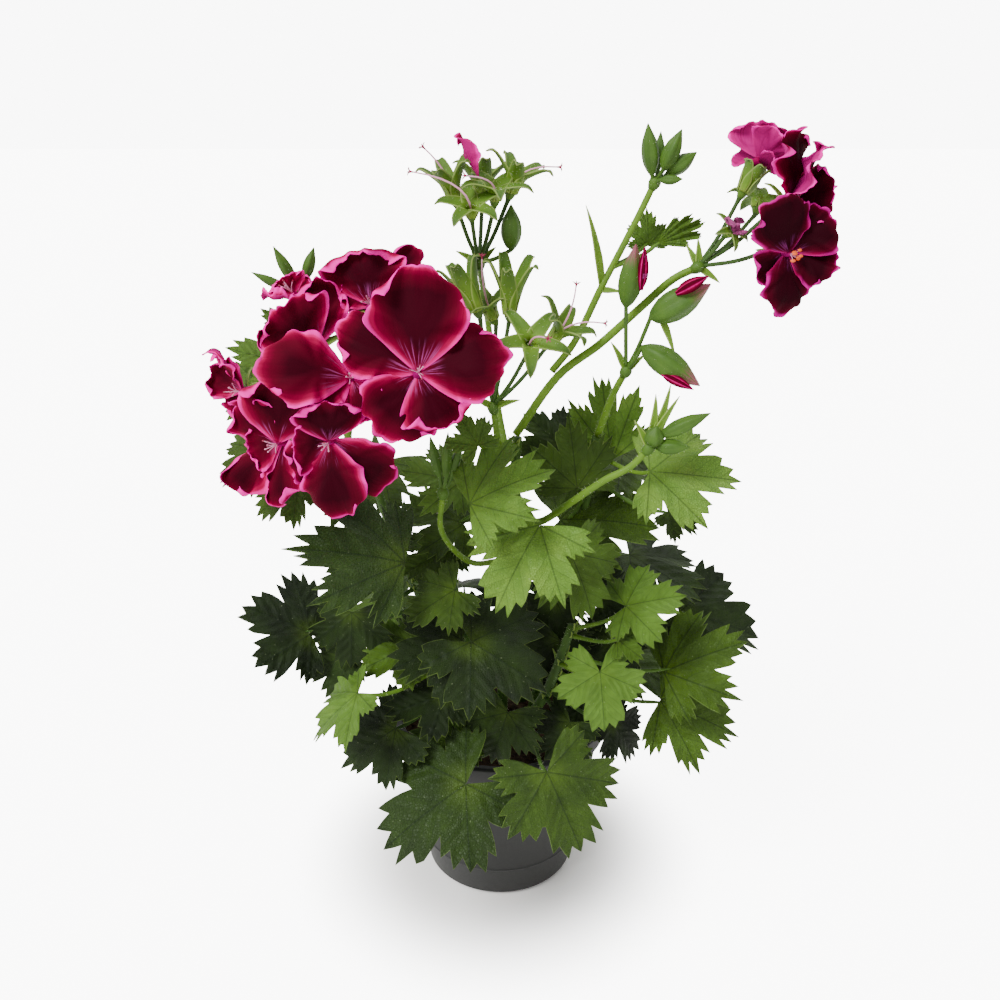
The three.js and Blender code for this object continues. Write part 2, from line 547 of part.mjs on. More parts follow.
// Stalks that end in an umbel. Each path starts just off the stem or stalk that carries it. A calyx
// that carries an open bloom stands back behind it.
const FLOWER_STALKS = {
  left_head_stalk: {
    path: [[347, 462, -22], [348, 436, -22], [350, 420, -22]],
    radius: 1.9,
    calyces: [
      { at: [417, 374, -80], facing: [0.15, -0.9, 0.4], back: 6.5, lean: 100, length: 8 },
      { at: [371, 308, -56], facing: [0.0, -0.8, 0.6], back: 6.5, lean: 100, length: 8 },
      { at: [320, 346, -58], facing: [-0.3, -0.8, 0.5], back: 6.5, lean: 100, length: 8 },
      { at: [353, 378, -78], facing: [-0.1, -0.95, 0.3], back: 6.5, lean: 100, length: 8 },
      { at: [331, 438, -88], facing: [-0.1, -0.97, -0.1], back: 6.5, lean: 100, length: 8 },
      { at: [284, 440, -66], facing: [-0.5, -0.85, -0.1], back: 6.5, lean: 100, length: 8 },
      { at: [246, 392, -48], facing: [-0.85, -0.4, 0.2], back: 6.5, lean: 100, length: 8 },
      { at: [296, 297, -38], facing: [-0.4, -0.5, 0.75], back: 6.5, lean: 100, length: 8 },
    ],
    buds: [
      { at: [296, 284, -26], tip: [273, 246, -28], width: 5 },
      { at: [290, 290, -24], tip: [251, 272, -26], width: 4 },
      { at: [305, 280, -24], tip: [314, 247, -24], width: 5 },
    ],
  },
  upper_spent_umbel: {
    path: [
      [517, 450, -19], [506, 447, -18], [497, 400, -3],
      [489, 330, 4], [484, 294, -4], [479, 264, -24],
    ],
    from: 2.6,
    calyces: [
      { at: [457, 207, -24], facing: [-0.25, -0.1, 1], lean: 35, length: 17, turn: 0.3 },
      { at: [472, 221, -34], facing: [-0.05, -0.5, 1], lean: 75, length: 12, turn: 1.2 },
      { at: [482, 205, -14], facing: [0, 0.3, 1], lean: 40, length: 16, turn: 0.8 },
      { at: [494, 207, -30], facing: [0.1, -0.2, 1], lean: 70, length: 13, turn: 2 },
      { at: [508, 200, -22], facing: [0.35, 0, 1], lean: 45, length: 17, turn: 0.5 },
    ],
    buds: [{ at: [511, 250, -26], tip: [511, 204, -26], width: 8.5 }],
    bracts: [{ tip: [456, 251, -26] }, { tip: [496, 247, -22] }, { tip: [470, 243, -16] }],
  },
  lower_spent_umbel: {
    path: [[516, 460, -19], [506, 456, -25], [498, 440, -28], [493, 407, -32]],
    from: 4.2,
    calyces: [
      { at: [509, 321, -36], facing: [0.05, -0.15, 1], lean: 22, length: 24, turn: 0.4 },
      { at: [496, 325, -28], facing: [-0.4, -0.1, 1], lean: 60, length: 15, turn: 1.4 },
      { at: [528, 352, -44], facing: [0.1, -0.7, 0.8], lean: 75, length: 15, turn: 0.2 },
      { at: [548, 345, -34], facing: [0.6, -0.2, 0.8], lean: 50, length: 16, turn: 0.9 },
      { at: [480, 318, -36], facing: [-0.4, 0.1, 1], lean: 20, length: 22, turn: 0.5 },
    ],
    bracts: [{ tip: [472, 398, -38] }, { tip: [520, 400, -36] }],
  },
  right_spray_stalk: {
    path: [
      [516, 434, -19], [557, 377, -22], [600, 344, -26],
      [640, 308, -30], [672, 280, -33], [698, 267, -34],
    ],
    radius: 1.9,
    calyces: [
      { at: [785, 251, -44], facing: [0.25, -0.95, -0.1], back: 6.5, lean: 100, length: 8 },
      { at: [786, 203, -34], facing: [0.6, -0.55, 0.5], back: 6.5, lean: 100, length: 8 },
      { at: [739, 199, -26], facing: [0.45, 0.1, 0.9], lean: 16, length: 11 },
      { at: [735, 228, -38], facing: [0.5, -0.6, 0.6], back: 6.5, lean: 100, length: 6 },
      { at: [755, 215, -12], facing: [0.3, 0.4, 0.8], lean: 85, length: 11 },
    ],
    bracts: [{ tip: [698, 238, -32] }, { tip: [720, 283, -36] }, { tip: [686, 244, -30] }],
  },
  top_bud_stalk: {
    path: [
      [552, 371, -20], [575, 341, -21], [600, 290, -22],
      [612, 267, -21], [636, 221, -20], [655, 182, -19],
    ],
    buds: [
      { at: [652, 175, -20], tip: [648, 123, -22], width: 7 },
      { at: [658, 170, -14], tip: [661, 131, -12], width: 4.5 },
      { at: [663, 170, -22], tip: [682, 129, -24], width: 7 },
      { at: [667, 174, -20], tip: [697, 152, -22], width: 7 },
      { at: [660, 180, -24], tip: [683, 179, -28], width: 4 },
    ],
    bracts: [
      { at: [602, 288, -22], tip: [586, 205, -26], width: 3.4 },
      { at: [600, 290, -22], tip: [622, 292, -26], width: 2.6 },
    ],
    leaves: [
      { at: [648, 246, -14], tip: [648, 208, -10], from: 0.6, spread: 0.8, facing: [0, -0.9, 0.4] },
      { at: [656, 244, -18], tip: [706, 220, -20], from: 0.6, spread: 0.25, facing: [0, -0.9, 0.4] },
    ],
  },
  middle_bud_stalk: {
    path: [[597, 437, -18], [612, 397, -26], [626, 371, -34]],
    radius: 1.7,
    from: 1.1,
    buds: [
      { at: [626, 307, -39], tip: [636, 244, -40], width: 9.5 },
      { at: [650, 319, -40], tip: [711, 284, -43], width: 12.5 },
      { at: [642, 347, -40], tip: [700, 386, -48], width: 11.5 },
    ],
    bracts: [
      { tip: [611, 342, -36] },
      { tip: [645, 355, -32] },
      { at: [659, 314, -40], tip: [675, 357, -42] },
    ],
  },
  side_bud_stalk: {
    path: [
      [512, 508, -17], [538, 522, -44], [570, 503, -52],
      [603, 481, -56], [630, 467, -56], [649, 448, -56],
    ],
    radius: 1.7,
    from: 3.3,
    buds: [
      { at: [652, 446, -56], tip: [657, 426, -58], width: 8 },
      { at: [660, 436, -56], tip: [711, 413, -58], width: 6.5 },
      { at: [656, 447, -56], tip: [690, 447, -60], width: 6.5 },
    ],
    bracts: [
      { tip: [656, 394, -52], width: 4 },
      { tip: [671, 384, -50], width: 4 },
      { tip: [680, 396, -52], width: 3.4 },
      { tip: [634, 420, -54], width: 3 },
    ],
  },
  small_bud_stalk: {
    path: [[508, 560, -15], [470, 562, -34], [442, 532, -46], [443, 492, -48]],
    radius: 1.4,
    from: 3.2,
    buds: [
      { at: [440, 478, -48], tip: [430, 436, -50], width: 4.5 },
      { at: [446, 478, -50], tip: [448, 432, -52], width: 4.5 },
      { at: [450, 480, -48], tip: [462, 440, -50], width: 4 },
    ],
  },
};

// Open blooms: the heart, the way the bloom faces, and the tip of each petal with its width in mm
const BLOOMS = {
  bloom_front: {
    at: [417, 374, -80],
    facing: [0.15, -0.9, 0.4],
    petals: [
      { tip: [421, 262, -78], width: 35, wave: 0.02, roll: -12 },
      { tip: [506, 352, -86], width: 29, wave: 0.05 },
      { tip: [338, 322, -76], width: 26, wave: 0.04 },
      { tip: [446, 431, -93], width: 26, wave: 0.06, roll: -10 },
      { tip: [383, 437, -96], width: 30, roll: -8 },
    ],
  },
  bloom_top: {
    at: [371, 308, -56],
    facing: [0.0, -0.8, 0.6],
    petals: [
      { tip: [362, 250, -52], width: 31, wave: 0.1, roll: -12 },
      { tip: [421, 248, -46], width: 15 },
      { tip: [343, 288, -52], width: 14, roll: 10 },
    ],
  },
  bloom_curled: {
    at: [296, 297, -38],
    facing: [-0.4, -0.5, 0.75],
    petals: [
      { tip: [269, 302, -51], width: 14 },
      { tip: [282, 277, -38], width: 16 },
      { tip: [314, 284, -38], width: 14 },
    ],
  },
  bloom_upper_left: {
    at: [320, 346, -58],
    facing: [-0.3, -0.8, 0.5],
    petals: [
      { tip: [277, 305, -62], width: 32, roll: -12 },
      { tip: [325, 279, -52], width: 20, roll: 20 },
      { tip: [262, 345, -56], width: 18 },
    ],
  },
  bloom_middle: {
    at: [353, 378, -78],
    facing: [-0.1, -0.95, 0.3],
    petals: [
      { tip: [255, 364, -88], width: 27, bulge: 0.18, roll: 12 },
      { tip: [372, 421, -88], width: 20, roll: 20 },
      { tip: [302, 398, -88], width: 18 },
      { tip: [390, 400, -86], width: 20 },
    ],
  },
  bloom_lower: {
    at: [331, 438, -88],
    facing: [-0.1, -0.97, -0.1],
    petals: [
      { tip: [328, 400, -92], width: 26, bulge: 0.2, roll: 24 },
      { tip: [292, 440, -94], width: 27 },
      { tip: [339, 521, -98], width: 24 },
      { tip: [388, 490, -90], width: 28 },
      { tip: [303, 478, -86], width: 23 },
    ],
  },
  bloom_lower_left: {
    at: [284, 440, -66],
    facing: [-0.5, -0.85, -0.1],
    petals: [
      { tip: [282, 378, -70], width: 31, roll: 24 },
      { tip: [240, 398, -62], width: 24 },
      { tip: [250, 446, -66], width: 20, roll: 20 },
      { tip: [238, 486, -60], width: 20, roll: 22 },
      { tip: [284, 506, -74], width: 17 },
    ],
  },
  bloom_far_left: {
    at: [246, 392, -48],
    facing: [-0.85, -0.4, 0.2],
    petals: [
      { tip: [222, 345, -50], width: 17 },
      { tip: [217, 374, -38], width: 17, roll: 24 },
      { tip: [228, 408, -46], width: 15 },
    ],
  },
  bloom_right_front: {
    at: [785, 251, -44],
    facing: [0.25, -0.95, -0.1],
    petals: [
      { tip: [775, 196, -56], width: 23 },
      { tip: [828, 210, -47], width: 24, roll: -30 },
      { tip: [836, 268, -48], width: 20, roll: -20 },
      { tip: [786, 314, -54], width: 18 },
      { tip: [756, 282, -48], width: 18 },
    ],
  },
  bloom_right_side: {
    at: [786, 203, -34],
    facing: [0.6, -0.55, 0.5],
    petals: [
      { tip: [790, 127, -36], width: 25 },
      { tip: [818, 142, -47], width: 24, roll: 10 },
      { tip: [838, 190, -40], width: 25 },
    ],
  },
  bloom_right_back: {
    at: [757, 163, -24],
    facing: [0.35, 0.75, 0.5],
    petals: [
      { tip: [744, 138, -14], width: 19, roll: 32 },
      { tip: [765, 121, -22], width: 26 },
      { tip: [785, 140, -31], width: 22 },
      { tip: [782, 168, -32], width: 17, roll: 20 },
    ],
  },
  bloom_withered: {
    at: [735, 228, -38],
    facing: [0.5, -0.6, 0.6],
    petals: [
      { tip: [724, 221, -42], width: 5, roll: 12 },
      { tip: [740, 217, -38], width: 5 },
      { tip: [742, 236, -41], width: 7 },
    ],
  },
};

// Petals that are left over or only show: in the spent umbel, and at the tips of the plump buds
const LOOSE_PETALS = {
  last_petal: { at: [478, 176, -30], tip: [463, 131, -32], facing: [-0.6, -0.7, 0.3], width: 15 },
};

const BUD_PETALS = {
  bud_petals_upper: { at: [641, 290, -42], tip: [645, 246, -42], width: 4 },
  bud_petals_middle: { at: [676, 294, -46], tip: [709, 276, -46], width: 5 },
  bud_petals_lower: { at: [662, 374, -47], tip: [694, 390, -53], width: 4 },
};

// Pot and soil

function circle(radius, height) {
  return new THREE.Vector2(radius, height);
}

function wallRadius(height) {
  return POT_BASE_RADIUS + ((POT_RIM_RADIUS - POT_LIP - POT_BASE_RADIUS) * height) / POT_HEIGHT;
}

function potSolid() {
  const lipFoot = POT_HEIGHT - POT_LIP_DEPTH;
  const ring = POT_RING_SIZE;
  const profile = [
    circle(0, 0),
    circle(POT_BASE_RADIUS - 2, 0),
    circle(wallRadius(2), 2),
    circle(wallRadius(POT_RING_HEIGHT - ring), POT_RING_HEIGHT - ring),
    circle(wallRadius(POT_RING_HEIGHT) + ring, POT_RING_HEIGHT),
    circle(wallRadius(POT_RING_HEIGHT + ring), POT_RING_HEIGHT + ring),
    circle(wallRadius(lipFoot), lipFoot),
    circle(POT_RIM_RADIUS - 0.6, lipFoot),
    circle(POT_RIM_RADIUS, POT_HEIGHT - 1),
    circle(POT_RIM_RADIUS - 1, POT_HEIGHT),
    circle(wallRadius(POT_HEIGHT) - POT_WALL, POT_HEIGHT),
    circle(wallRadius(POT_WALL) - POT_WALL, POT_WALL),
    circle(0, POT_WALL),
  ];
  const shell = solidFromGeometry(upright(new THREE.LatheGeometry(profile, POT_SIDES)));
  return drainHoles().reduce((pot, hole) => pot.subtract(hole), shell);
}

// A lathe turns about its own Y axis, and the pot stands along Z
function upright(geometry) {
  return geometry.rotateX(Math.PI / 2);
}

function drainHoles() {
  return Array.from({ length: DRAIN_HOLES }, (_, i) => {
    const turn = (2 * Math.PI * i) / DRAIN_HOLES;
    const hole = upright(new THREE.CylinderGeometry(DRAIN_RADIUS, DRAIN_RADIUS, 4 * POT_WALL, DRAIN_SIDES));
    hole.translate(DRAIN_CIRCLE * Math.cos(turn), DRAIN_CIRCLE * Math.sin(turn), 0);
    return solidFromGeometry(hole);
  });
}

// The soil fills the pot but for a clearance, and has a plain hole for each stem
function soilSolid(stemPaths) {
  const foot = POT_WALL + CLEARANCE;
  const inside = (height) => wallRadius(height) - POT_WALL - CLEARANCE;
  const profile = [
    circle(0, foot),
    circle(inside(foot), foot),
    circle(inside(SOIL_LEVEL), SOIL_LEVEL),
    circle(inside(SOIL_LEVEL) * 0.6, SOIL_LEVEL + SOIL_CROWN * 0.8),
    circle(0, SOIL_LEVEL + SOIL_CROWN),
  ];
  const body = solidFromGeometry(upright(new THREE.LatheGeometry(profile, POT_SIDES)));
  return stemPaths.reduce((soil, places) => soil.subtract(stemHole(places)), body);
}

function stemHole(places) {
  const ahead = places[1].clone().sub(places[0]).normalize();
  const foot = places[0].clone().addScaledVector(ahead, -CLEARANCE);
  const radius = STEM_FOOT_RADIUS + STEM_HOLE_CLEARANCE;
  return shoot([foot, places[1]], [radius, radius], { sides: STEM_SIDES });
}

// The whole plant in its pot

const COLOURS = {
  pot: { color: 0x3a3838, roughness: 0.55, metalness: 0 },
  soil: { color: 0x3b2c20, roughness: 1, metalness: 0 },
  leaf: { color: 0x4f7d35, roughness: 0.6, metalness: 0 },
  stalk: { color: 0x7fa548, roughness: 0.6, metalness: 0 },
  petal: { color: 0xb0125e, roughness: 0.7, metalness: 0 },
  withered: { color: 0x5e2346, roughness: 0.8, metalness: 0 },
};

function named(name, solid, colour) {
  const { vertProperties, triVerts, numProp } = solid.getMesh();
  const geometry = new THREE.BufferGeometry();
  geometry.setAttribute("position", new THREE.BufferAttribute(vertProperties, numProp));
  geometry.setIndex(new THREE.BufferAttribute(triVerts, 1));
  const mesh = new THREE.Mesh(geometry, new THREE.MeshStandardMaterial(COLOURS[colour]));
  mesh.name = name;
  return mesh;
}

function leafyStem({ path, leaves, ring }) {
  const places = path.map(point);
  const radii = evenRadii(places.length, STEM_FOOT_RADIUS, STEM_TOP_RADIUS);
  radii[1] = STEM_FOOT_RADIUS;
  const stem = shoot(places, radii, { sides: STEM_SIDES });
  const entries = leaves ?? ringOfLeaves(places, ring);
  return join([stem, ...entries.map((entry) => leaf(places, entry))]);
}

const plant = new THREE.Group();
const stemPaths = Object.values(LEAFY_STEMS).map(({ path }) => path.map(point));
plant.add(named("pot", potSolid(), "pot"));
plant.add(named("soil", soilSolid(stemPaths), "soil"));
for (const [name, entry] of Object.entries(LEAFY_STEMS)) plant.add(named(name, leafyStem(entry), "leaf"));
for (const [name, entry] of Object.entries(FLOWER_STALKS)) {
  plant.add(named(name, flowerStalk(entry), "stalk"));
}
for (const [name, entry] of Object.entries(BLOOMS)) {
  plant.add(named(name, bloom(entry), name === "bloom_withered" ? "withered" : "petal"));
}
for (const [name, entry] of Object.entries(LOOSE_PETALS)) {
  plant.add(named(name, petal(seen(entry.at), entry, point(entry.facing).normalize()), "petal"));
}
for (const [name, entry] of Object.entries(BUD_PETALS)) {
  plant.add(named(name, bud(null, seen(entry.at), seen(entry.tip), entry.width), "petal"));
}

export default plant;
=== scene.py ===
import json
import math

import bpy
import numpy as np
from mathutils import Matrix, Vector
from mathutils.geometry import delaunay_2d_cdt

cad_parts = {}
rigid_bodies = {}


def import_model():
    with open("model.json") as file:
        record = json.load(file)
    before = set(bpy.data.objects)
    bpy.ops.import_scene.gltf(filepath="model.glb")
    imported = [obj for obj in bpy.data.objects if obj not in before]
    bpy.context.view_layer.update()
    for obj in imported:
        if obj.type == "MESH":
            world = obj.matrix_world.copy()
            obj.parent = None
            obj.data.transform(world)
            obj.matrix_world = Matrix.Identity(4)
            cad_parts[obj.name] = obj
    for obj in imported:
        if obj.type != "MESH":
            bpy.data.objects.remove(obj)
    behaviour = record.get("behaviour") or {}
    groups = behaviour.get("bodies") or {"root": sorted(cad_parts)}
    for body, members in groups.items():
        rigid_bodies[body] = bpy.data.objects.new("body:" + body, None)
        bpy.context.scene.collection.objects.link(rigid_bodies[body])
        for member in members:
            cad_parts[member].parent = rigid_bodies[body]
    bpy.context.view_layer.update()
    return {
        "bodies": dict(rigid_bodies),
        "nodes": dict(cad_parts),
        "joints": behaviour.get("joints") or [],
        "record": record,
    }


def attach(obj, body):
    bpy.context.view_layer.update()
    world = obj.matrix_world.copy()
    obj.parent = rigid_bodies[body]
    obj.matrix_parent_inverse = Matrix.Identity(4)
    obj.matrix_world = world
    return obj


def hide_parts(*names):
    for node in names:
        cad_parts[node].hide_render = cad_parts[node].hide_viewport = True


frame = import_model()

MM = 0.001

# Driving dimensions of the pot and the soil, and how finely they are made
POT_HEIGHT = 92
POT_BASE_RADIUS = 38.5
POT_RIM_RADIUS = 56
POT_WALL = 1.6
POT_LIP = 2
POT_LIP_DEPTH = 9
POT_LIP_TAPER = 0.6
POT_LIP_BEVEL = 1
POT_RING_HEIGHT = 19
POT_RING_SIZE = 0.7
DRAIN_HOLES = 6
DRAIN_RADIUS = 4
DRAIN_CIRCLE = 25
POT_FOOT_BEVEL = 2
POT_ROUNDING = 0.35
POT_SIDES = 144
DRAIN_SIDES = 24
SOIL_LEVEL = 82
SOIL_CROWN = 3
CLEARANCE = 0.35
SOIL_SIDES = 120
SOIL_RINGS = 34
SOIL_LUMPS = 14
CRUMBS = 260
CRUMB_REACH = 0.94
CRUMB_SIZES = (0.6, 1.7)

# Driving dimensions of the plant
LEAF_HALF_THICKNESS = 0.2
PETAL_HALF_THICKNESS = 0.15
SEPAL_HALF_THICKNESS = 0.25
STEM_FOOT_RADIUS = 3
STEM_TOP_RADIUS = 2.1
STIPULE_WIDTH = 2.2
STIPULE_HEIGHT = 3.4
LEAF_STALK_RADIUS = 1.1
PEDICEL_RADIUS = 0.9
FLOWER_STALK_RADIUS = 1.6
STALK_TAPER = 0.85
HUB_RADIUS = 2.6
CALYX_RADIUS = 2.6
CALYX_LENGTH = 5
BLOOM_HEART_RADIUS = 2.4
PETAL_LAYER = 1
CLAW_INSET = 1
HAIR_LENGTH = 1.3
FINE_HAIR_LENGTH = HAIR_LENGTH * 0.7
HAIR_RADIUS = 0.06
HAIR_SPACING = 2.4
STALK_HAIR_SPACING = 2.2

# Tones that the green material turns into shades, dark at 0 and pale at 1
STEM_TONE = 0.45
HUB_TONE = 0.55
STALK_TONE = 0.76
PEDICEL_TONE = 0.37
CALYX_TONE = 0.62
BUD_TONE = 0.5
STIPULE_TONE = 0.7

# Tones that the material of styles and stamens turns into dark red, pink, cream and then orange
STIGMA_TONE = 0.02
FILAMENT_TONE = 0.2
STYLE_TONE = 0.24
ANTHER_TONE = 1.0

# Sides of round stalks, from thick to thin, and how many steps a curve has between two places
STEM_SIDES = 12
PEDICEL_SIDES = 10
LEAF_STALK_SIDES = 8
STYLE_SIDES = 7
THREAD_SIDES = 5
STEM_STEPS = 7
STALK_STEPS = 6
BUD_STEPS = 5
SEPAL_STEPS = 4

# Where the draws of each kind of piece start
LEAFY_SEED = 3
STALK_SEED = 40
BLOOM_SEED = 70
SOIL_SEED = 5
LAST_PETAL_SEED = 97

# The viewer's eye, the angle it looks down and its picture, 1000 pixels wide. A place in that picture
# and a distance y from the pot's axis (negative towards the viewer) give a point of the plant.
EYE = np.array([0.0, -490.0, 417.0])
EYE_TILT = math.radians(23)
EYE_FOCAL = 1100
PICTURE_MIDDLE = 500
PICTURE_WIDTH = 1000
SENSOR_WIDTH = 36

# How far the floor reaches each way in metres, how brightly it is lit from within for the viewer
# alone, and the distances from the pot between which that glow comes up. Nearer the pot the glow is
# less, which paints a soft shadow round it.
FLOOR_REACH = 4.0
FLOOR_GLOW = 8.0
PAINTED_SHADOW_RADII = (0.03, 0.12)

# The way each sun shines, its softness in degrees and its strength, and how bright the sky is as a light
# and as what the viewer sees
KEY_SUN = dict(direction=(0.5, 0.5, -0.75), softness=24, strength=4.5)
BACK_SUN = dict(direction=(-0.3, -0.6, -0.7), softness=40, strength=0.8)
SKY = dict(strength=0.85, behind=9.0)

UP = np.array([0.0, 0.0, 1.0])
SIDEWAYS = np.array([1.0, 0.0, 0.0])
STEEP = 0.9


def seen(place):
    """The point at a distance y that shows at picture coordinates px and py"""
    px, py, y = place
    right = (px - PICTURE_MIDDLE) / EYE_FOCAL
    down = (py - PICTURE_MIDDLE) / EYE_FOCAL
    cos, sin = math.cos(EYE_TILT), math.sin(EYE_TILT)
    ray = np.array([right, cos - down * sin, -sin - down * cos])
    return EYE + ray * ((y - EYE[1]) / ray[1])


def unit(v):
    v = np.asarray(v, float)
    return v / np.linalg.norm(v)


def units(v):
    """Each of many directions with a length of 1"""
    return v / np.maximum(np.linalg.norm(v, axis=-1, keepdims=True), 1e-9)


def off_line(line):
    """A direction well off a line, upwards or sideways"""
    return UP if abs(line[2]) < STEEP else SIDEWAYS


def aside(line):
    """A direction square to a line"""
    return unit(np.cross(line, off_line(line)))


def around(count):
    """Even turns round a circle, in radians"""
    return np.arange(count) * 2 * math.pi / count


def turned(v, axis, angle):
    """v turned about a unit axis by an angle in radians"""
    cos, sin = math.cos(angle), math.sin(angle)
    return v * cos + np.cross(axis, v) * sin + axis * np.dot(axis, v) * (1 - cos)


def smooth_step(low, high, value):
    share = np.clip((value - low) / (high - low), 0, 1)
    return share * share * (3 - 2 * share)


# The multiplier, step and range of a small generator of draws, the same as the part's own
DRAW_FACTOR = 1664525
DRAW_STEP = 1013904223
DRAW_RANGE = 2**32


def draws_from(seed):
    """Draws for the leaves that stand round the back stems"""
    state = seed

    def draw(low, high):
        nonlocal state
        state = (state * DRAW_FACTOR + DRAW_STEP) % DRAW_RANGE
        return low + (high - low) * state / DRAW_RANGE

    return draw


# Meshes

# Ridges round a bud, and the step of the stored length along a stalk for each millimetre
RIDGES = 5
UV_PER_MM = 0.01

# The values that a piece carries at each vertex for its material, as they are where none are given:
# millimetres from the rim, whether it is the underside, the tone, and a value that tells pieces apart
MARKS = {"edge": 1.0, "under": 0.0, "tone": 0.5, "seed": 0.0}


def linked(name, data):
    obj = bpy.data.objects.new(name, data)
    bpy.context.scene.collection.objects.link(obj)
    return obj


class Skin:
    """Vertices in millimetres and faces, with two coordinates and the marks at each vertex. The stalks
    on which hairs will stand are kept as paths with their radii."""

    def __init__(self):
        self.places = []
        self.faces = []
        self.uvs = []
        self.marks = {name: [] for name in MARKS}
        self.count = 0
        self.stalks, self.fine_stalks = [], []

    def add(self, places, faces, uv=(0.0, 0.0), **marks):
        places = np.reshape(places, (-1, 3))
        count = len(places)
        self.places.append(places)
        self.faces += [tuple(i + self.count for i in face) for face in faces]
        self.uvs.append(np.broadcast_to(np.reshape(uv, (-1, 2)), (count, 2)))
        for name, usual in MARKS.items():
            self.marks[name].append(np.broadcast_to(np.ravel(marks.get(name, usual)), (count,)))
        self.count += count

    def piece(self, name, material, slot, nodes=()):
        """The finished object, which rides on the plant's one body and stands for the CAD nodes named"""
        mesh = bpy.data.meshes.new(name)
        mesh.from_pydata((np.concatenate(self.places) * MM).tolist(), [], self.faces)
        mesh.validate()
        mesh.polygons.foreach_set("use_smooth", [True] * len(mesh.polygons))
        corners = np.zeros(len(mesh.loops), np.int32)
        mesh.loops.foreach_get("vertex_index", corners)
        layer = mesh.uv_layers.new(name="Form")
        layer.data.foreach_set("uv", np.concatenate(self.uvs)[corners].astype(np.float32).ravel())
        for mark, values in self.marks.items():
            attribute = mesh.attributes.new(mark, "FLOAT", "POINT")
            attribute.data.foreach_set("value", np.concatenate(values).astype(np.float32))
        mesh.materials.append(material)
        obj = linked(name, mesh)
        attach(obj, "root")
        if nodes:
            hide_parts(*nodes)


def grid_faces(rows, columns, start=0, closed=False, flip=False):
    """Quads of a grid of rows and columns, closed round its rows or not"""
    faces = []
    wide = columns if closed else columns - 1
    for row in range(rows - 1):
        for column in range(wide):
            a = start + row * columns + column
            b = start + row * columns + (column + 1) % columns
            face = (a, b, b + columns, a + columns)
            faces.append(face[::-1] if flip else face)
    return faces


def sheet(skin, middle, normals, half, uv, **marks):
    """A thin closed sheet from a grid of points: two faces and a wall round the rim. Marks are single
    values, or grids of them."""
    rows, columns = middle.shape[:2]
    count = rows * columns
    faces = grid_faces(rows, columns, flip=True) + grid_faces(rows, columns, start=count)
    grid = np.arange(count).reshape(rows, columns)
    rim = np.concatenate([grid[0], grid[1:, -1], grid[-1, -2::-1], grid[-2:0:-1, 0]]).tolist()
    faces += [(a, b, b + count, a + count) for a, b in zip(rim, rim[1:] + rim[:1])]
    doubled = {
        name: np.tile(np.broadcast_to(value, (rows, columns)).ravel(), 2) for name, value in marks.items()
    }
    both = np.concatenate([middle + normals * half, middle - normals * half])
    uv = np.tile(uv.reshape(-1, 2), (2, 1))
    skin.add(both, faces, uv=uv, under=np.repeat([0.0, 1.0], count), **doubled)


def grid_of(first, second):
    """Pairs of two coordinates, spread over a grid"""
    return np.stack(np.broadcast_arrays(first, second), axis=2)


def laid_out(start, *moves):
    """A grid of places: a start, moved by grids of distances along a direction each"""
    for distance, direction in moves:
        start = start + distance[..., None] * direction
    return start


def grid_normals(middle, lead):
    """Unit normals of a grid of points, on the side that lead looks towards"""
    normals = units(np.cross(np.gradient(middle, axis=1), np.gradient(middle, axis=0)))
    normals[np.einsum("ijk,k->ij", normals, lead) < 0] *= -1
    return normals


def smooth_path(places, steps):
    """A smooth curve through the places"""
    places = [np.asarray(p, float) for p in places]
    ends = [2 * places[0] - places[1], *places, 2 * places[-1] - places[-2]]
    out = []
    for a, b, c, d in zip(ends, ends[1:], ends[2:], ends[3:]):
        slope, bend, twist = c - a, 2 * a - 5 * b + 4 * c - d, 3 * b - a - 3 * c + d
        for t in [k / steps for k in range(steps)]:
            out.append(0.5 * (2 * b + slope * t + bend * t * t + twist * t**3))
    return np.array([*out, places[-1]])


def steps_of(places):
    """The lengths between the places of a path"""
    return np.linalg.norm(np.diff(places, axis=0), axis=1)


def along_path(places, share):
    """The place at a share of a path of straight lengths"""
    at = share * (len(places) - 1)
    i = min(int(at), len(places) - 2)
    return places[i] + (places[i + 1] - places[i]) * (at - i)


def tube_frames(places):
    """At each place of a path its direction and two directions across it, which don't twist"""
    lines = units(np.gradient(places, axis=0))
    across = np.cross(off_line(lines[0]), lines[0])
    frames = []
    for line in lines:
        across = unit(across - line * np.dot(across, line))
        frames.append((line, across, np.cross(line, across)))
    return frames


def tube(skin, places, radii, kept=None, sides=LEAF_STALK_SIDES, ridges=0.0, **marks):
    """A round stalk through the places, closed at both ends, with ridges along it where asked. It joins
    the list of stalks in which it is kept."""
    if kept is not None:
        kept.append((places, radii))
    count = len(places)
    radii, ridges = (np.broadcast_to(value, (count,))[:, None] for value in (radii, ridges))
    turns = around(sides)
    shape = radii * (1 + ridges * np.cos(RIDGES * turns))
    _, across, lift = (np.array(part)[:, None] for part in zip(*tube_frames(places)))
    points = laid_out(places[:, None], (np.cos(turns) * shape, across), (np.sin(turns) * shape, lift))
    lengths = np.concatenate([[0], np.cumsum(steps_of(places))])
    faces = grid_faces(count, sides, closed=True)
    last = (count - 1) * sides
    faces += [tuple(range(sides))[::-1], tuple(range(last, last + sides))]
    skin.add(points, faces, uv=grid_of(turns / (2 * math.pi), lengths[:, None] * UV_PER_MM), **marks)


# Leaves

# A blade's five lobes: the turn from its middle line in degrees, and the reach as a share of its length
LOBES = [(-104, 0.62), (-52, 0.86), (0, 1.0), (52, 0.86), (104, 0.62)]
LOBE_STEP = 52
LOBE_HALF = 26
SINUS_REACH = 0.63
BASE_REACH = 0.3
STALK_INSET = 0.08
LEAF_FACING = (0, -0.55, 0.83)

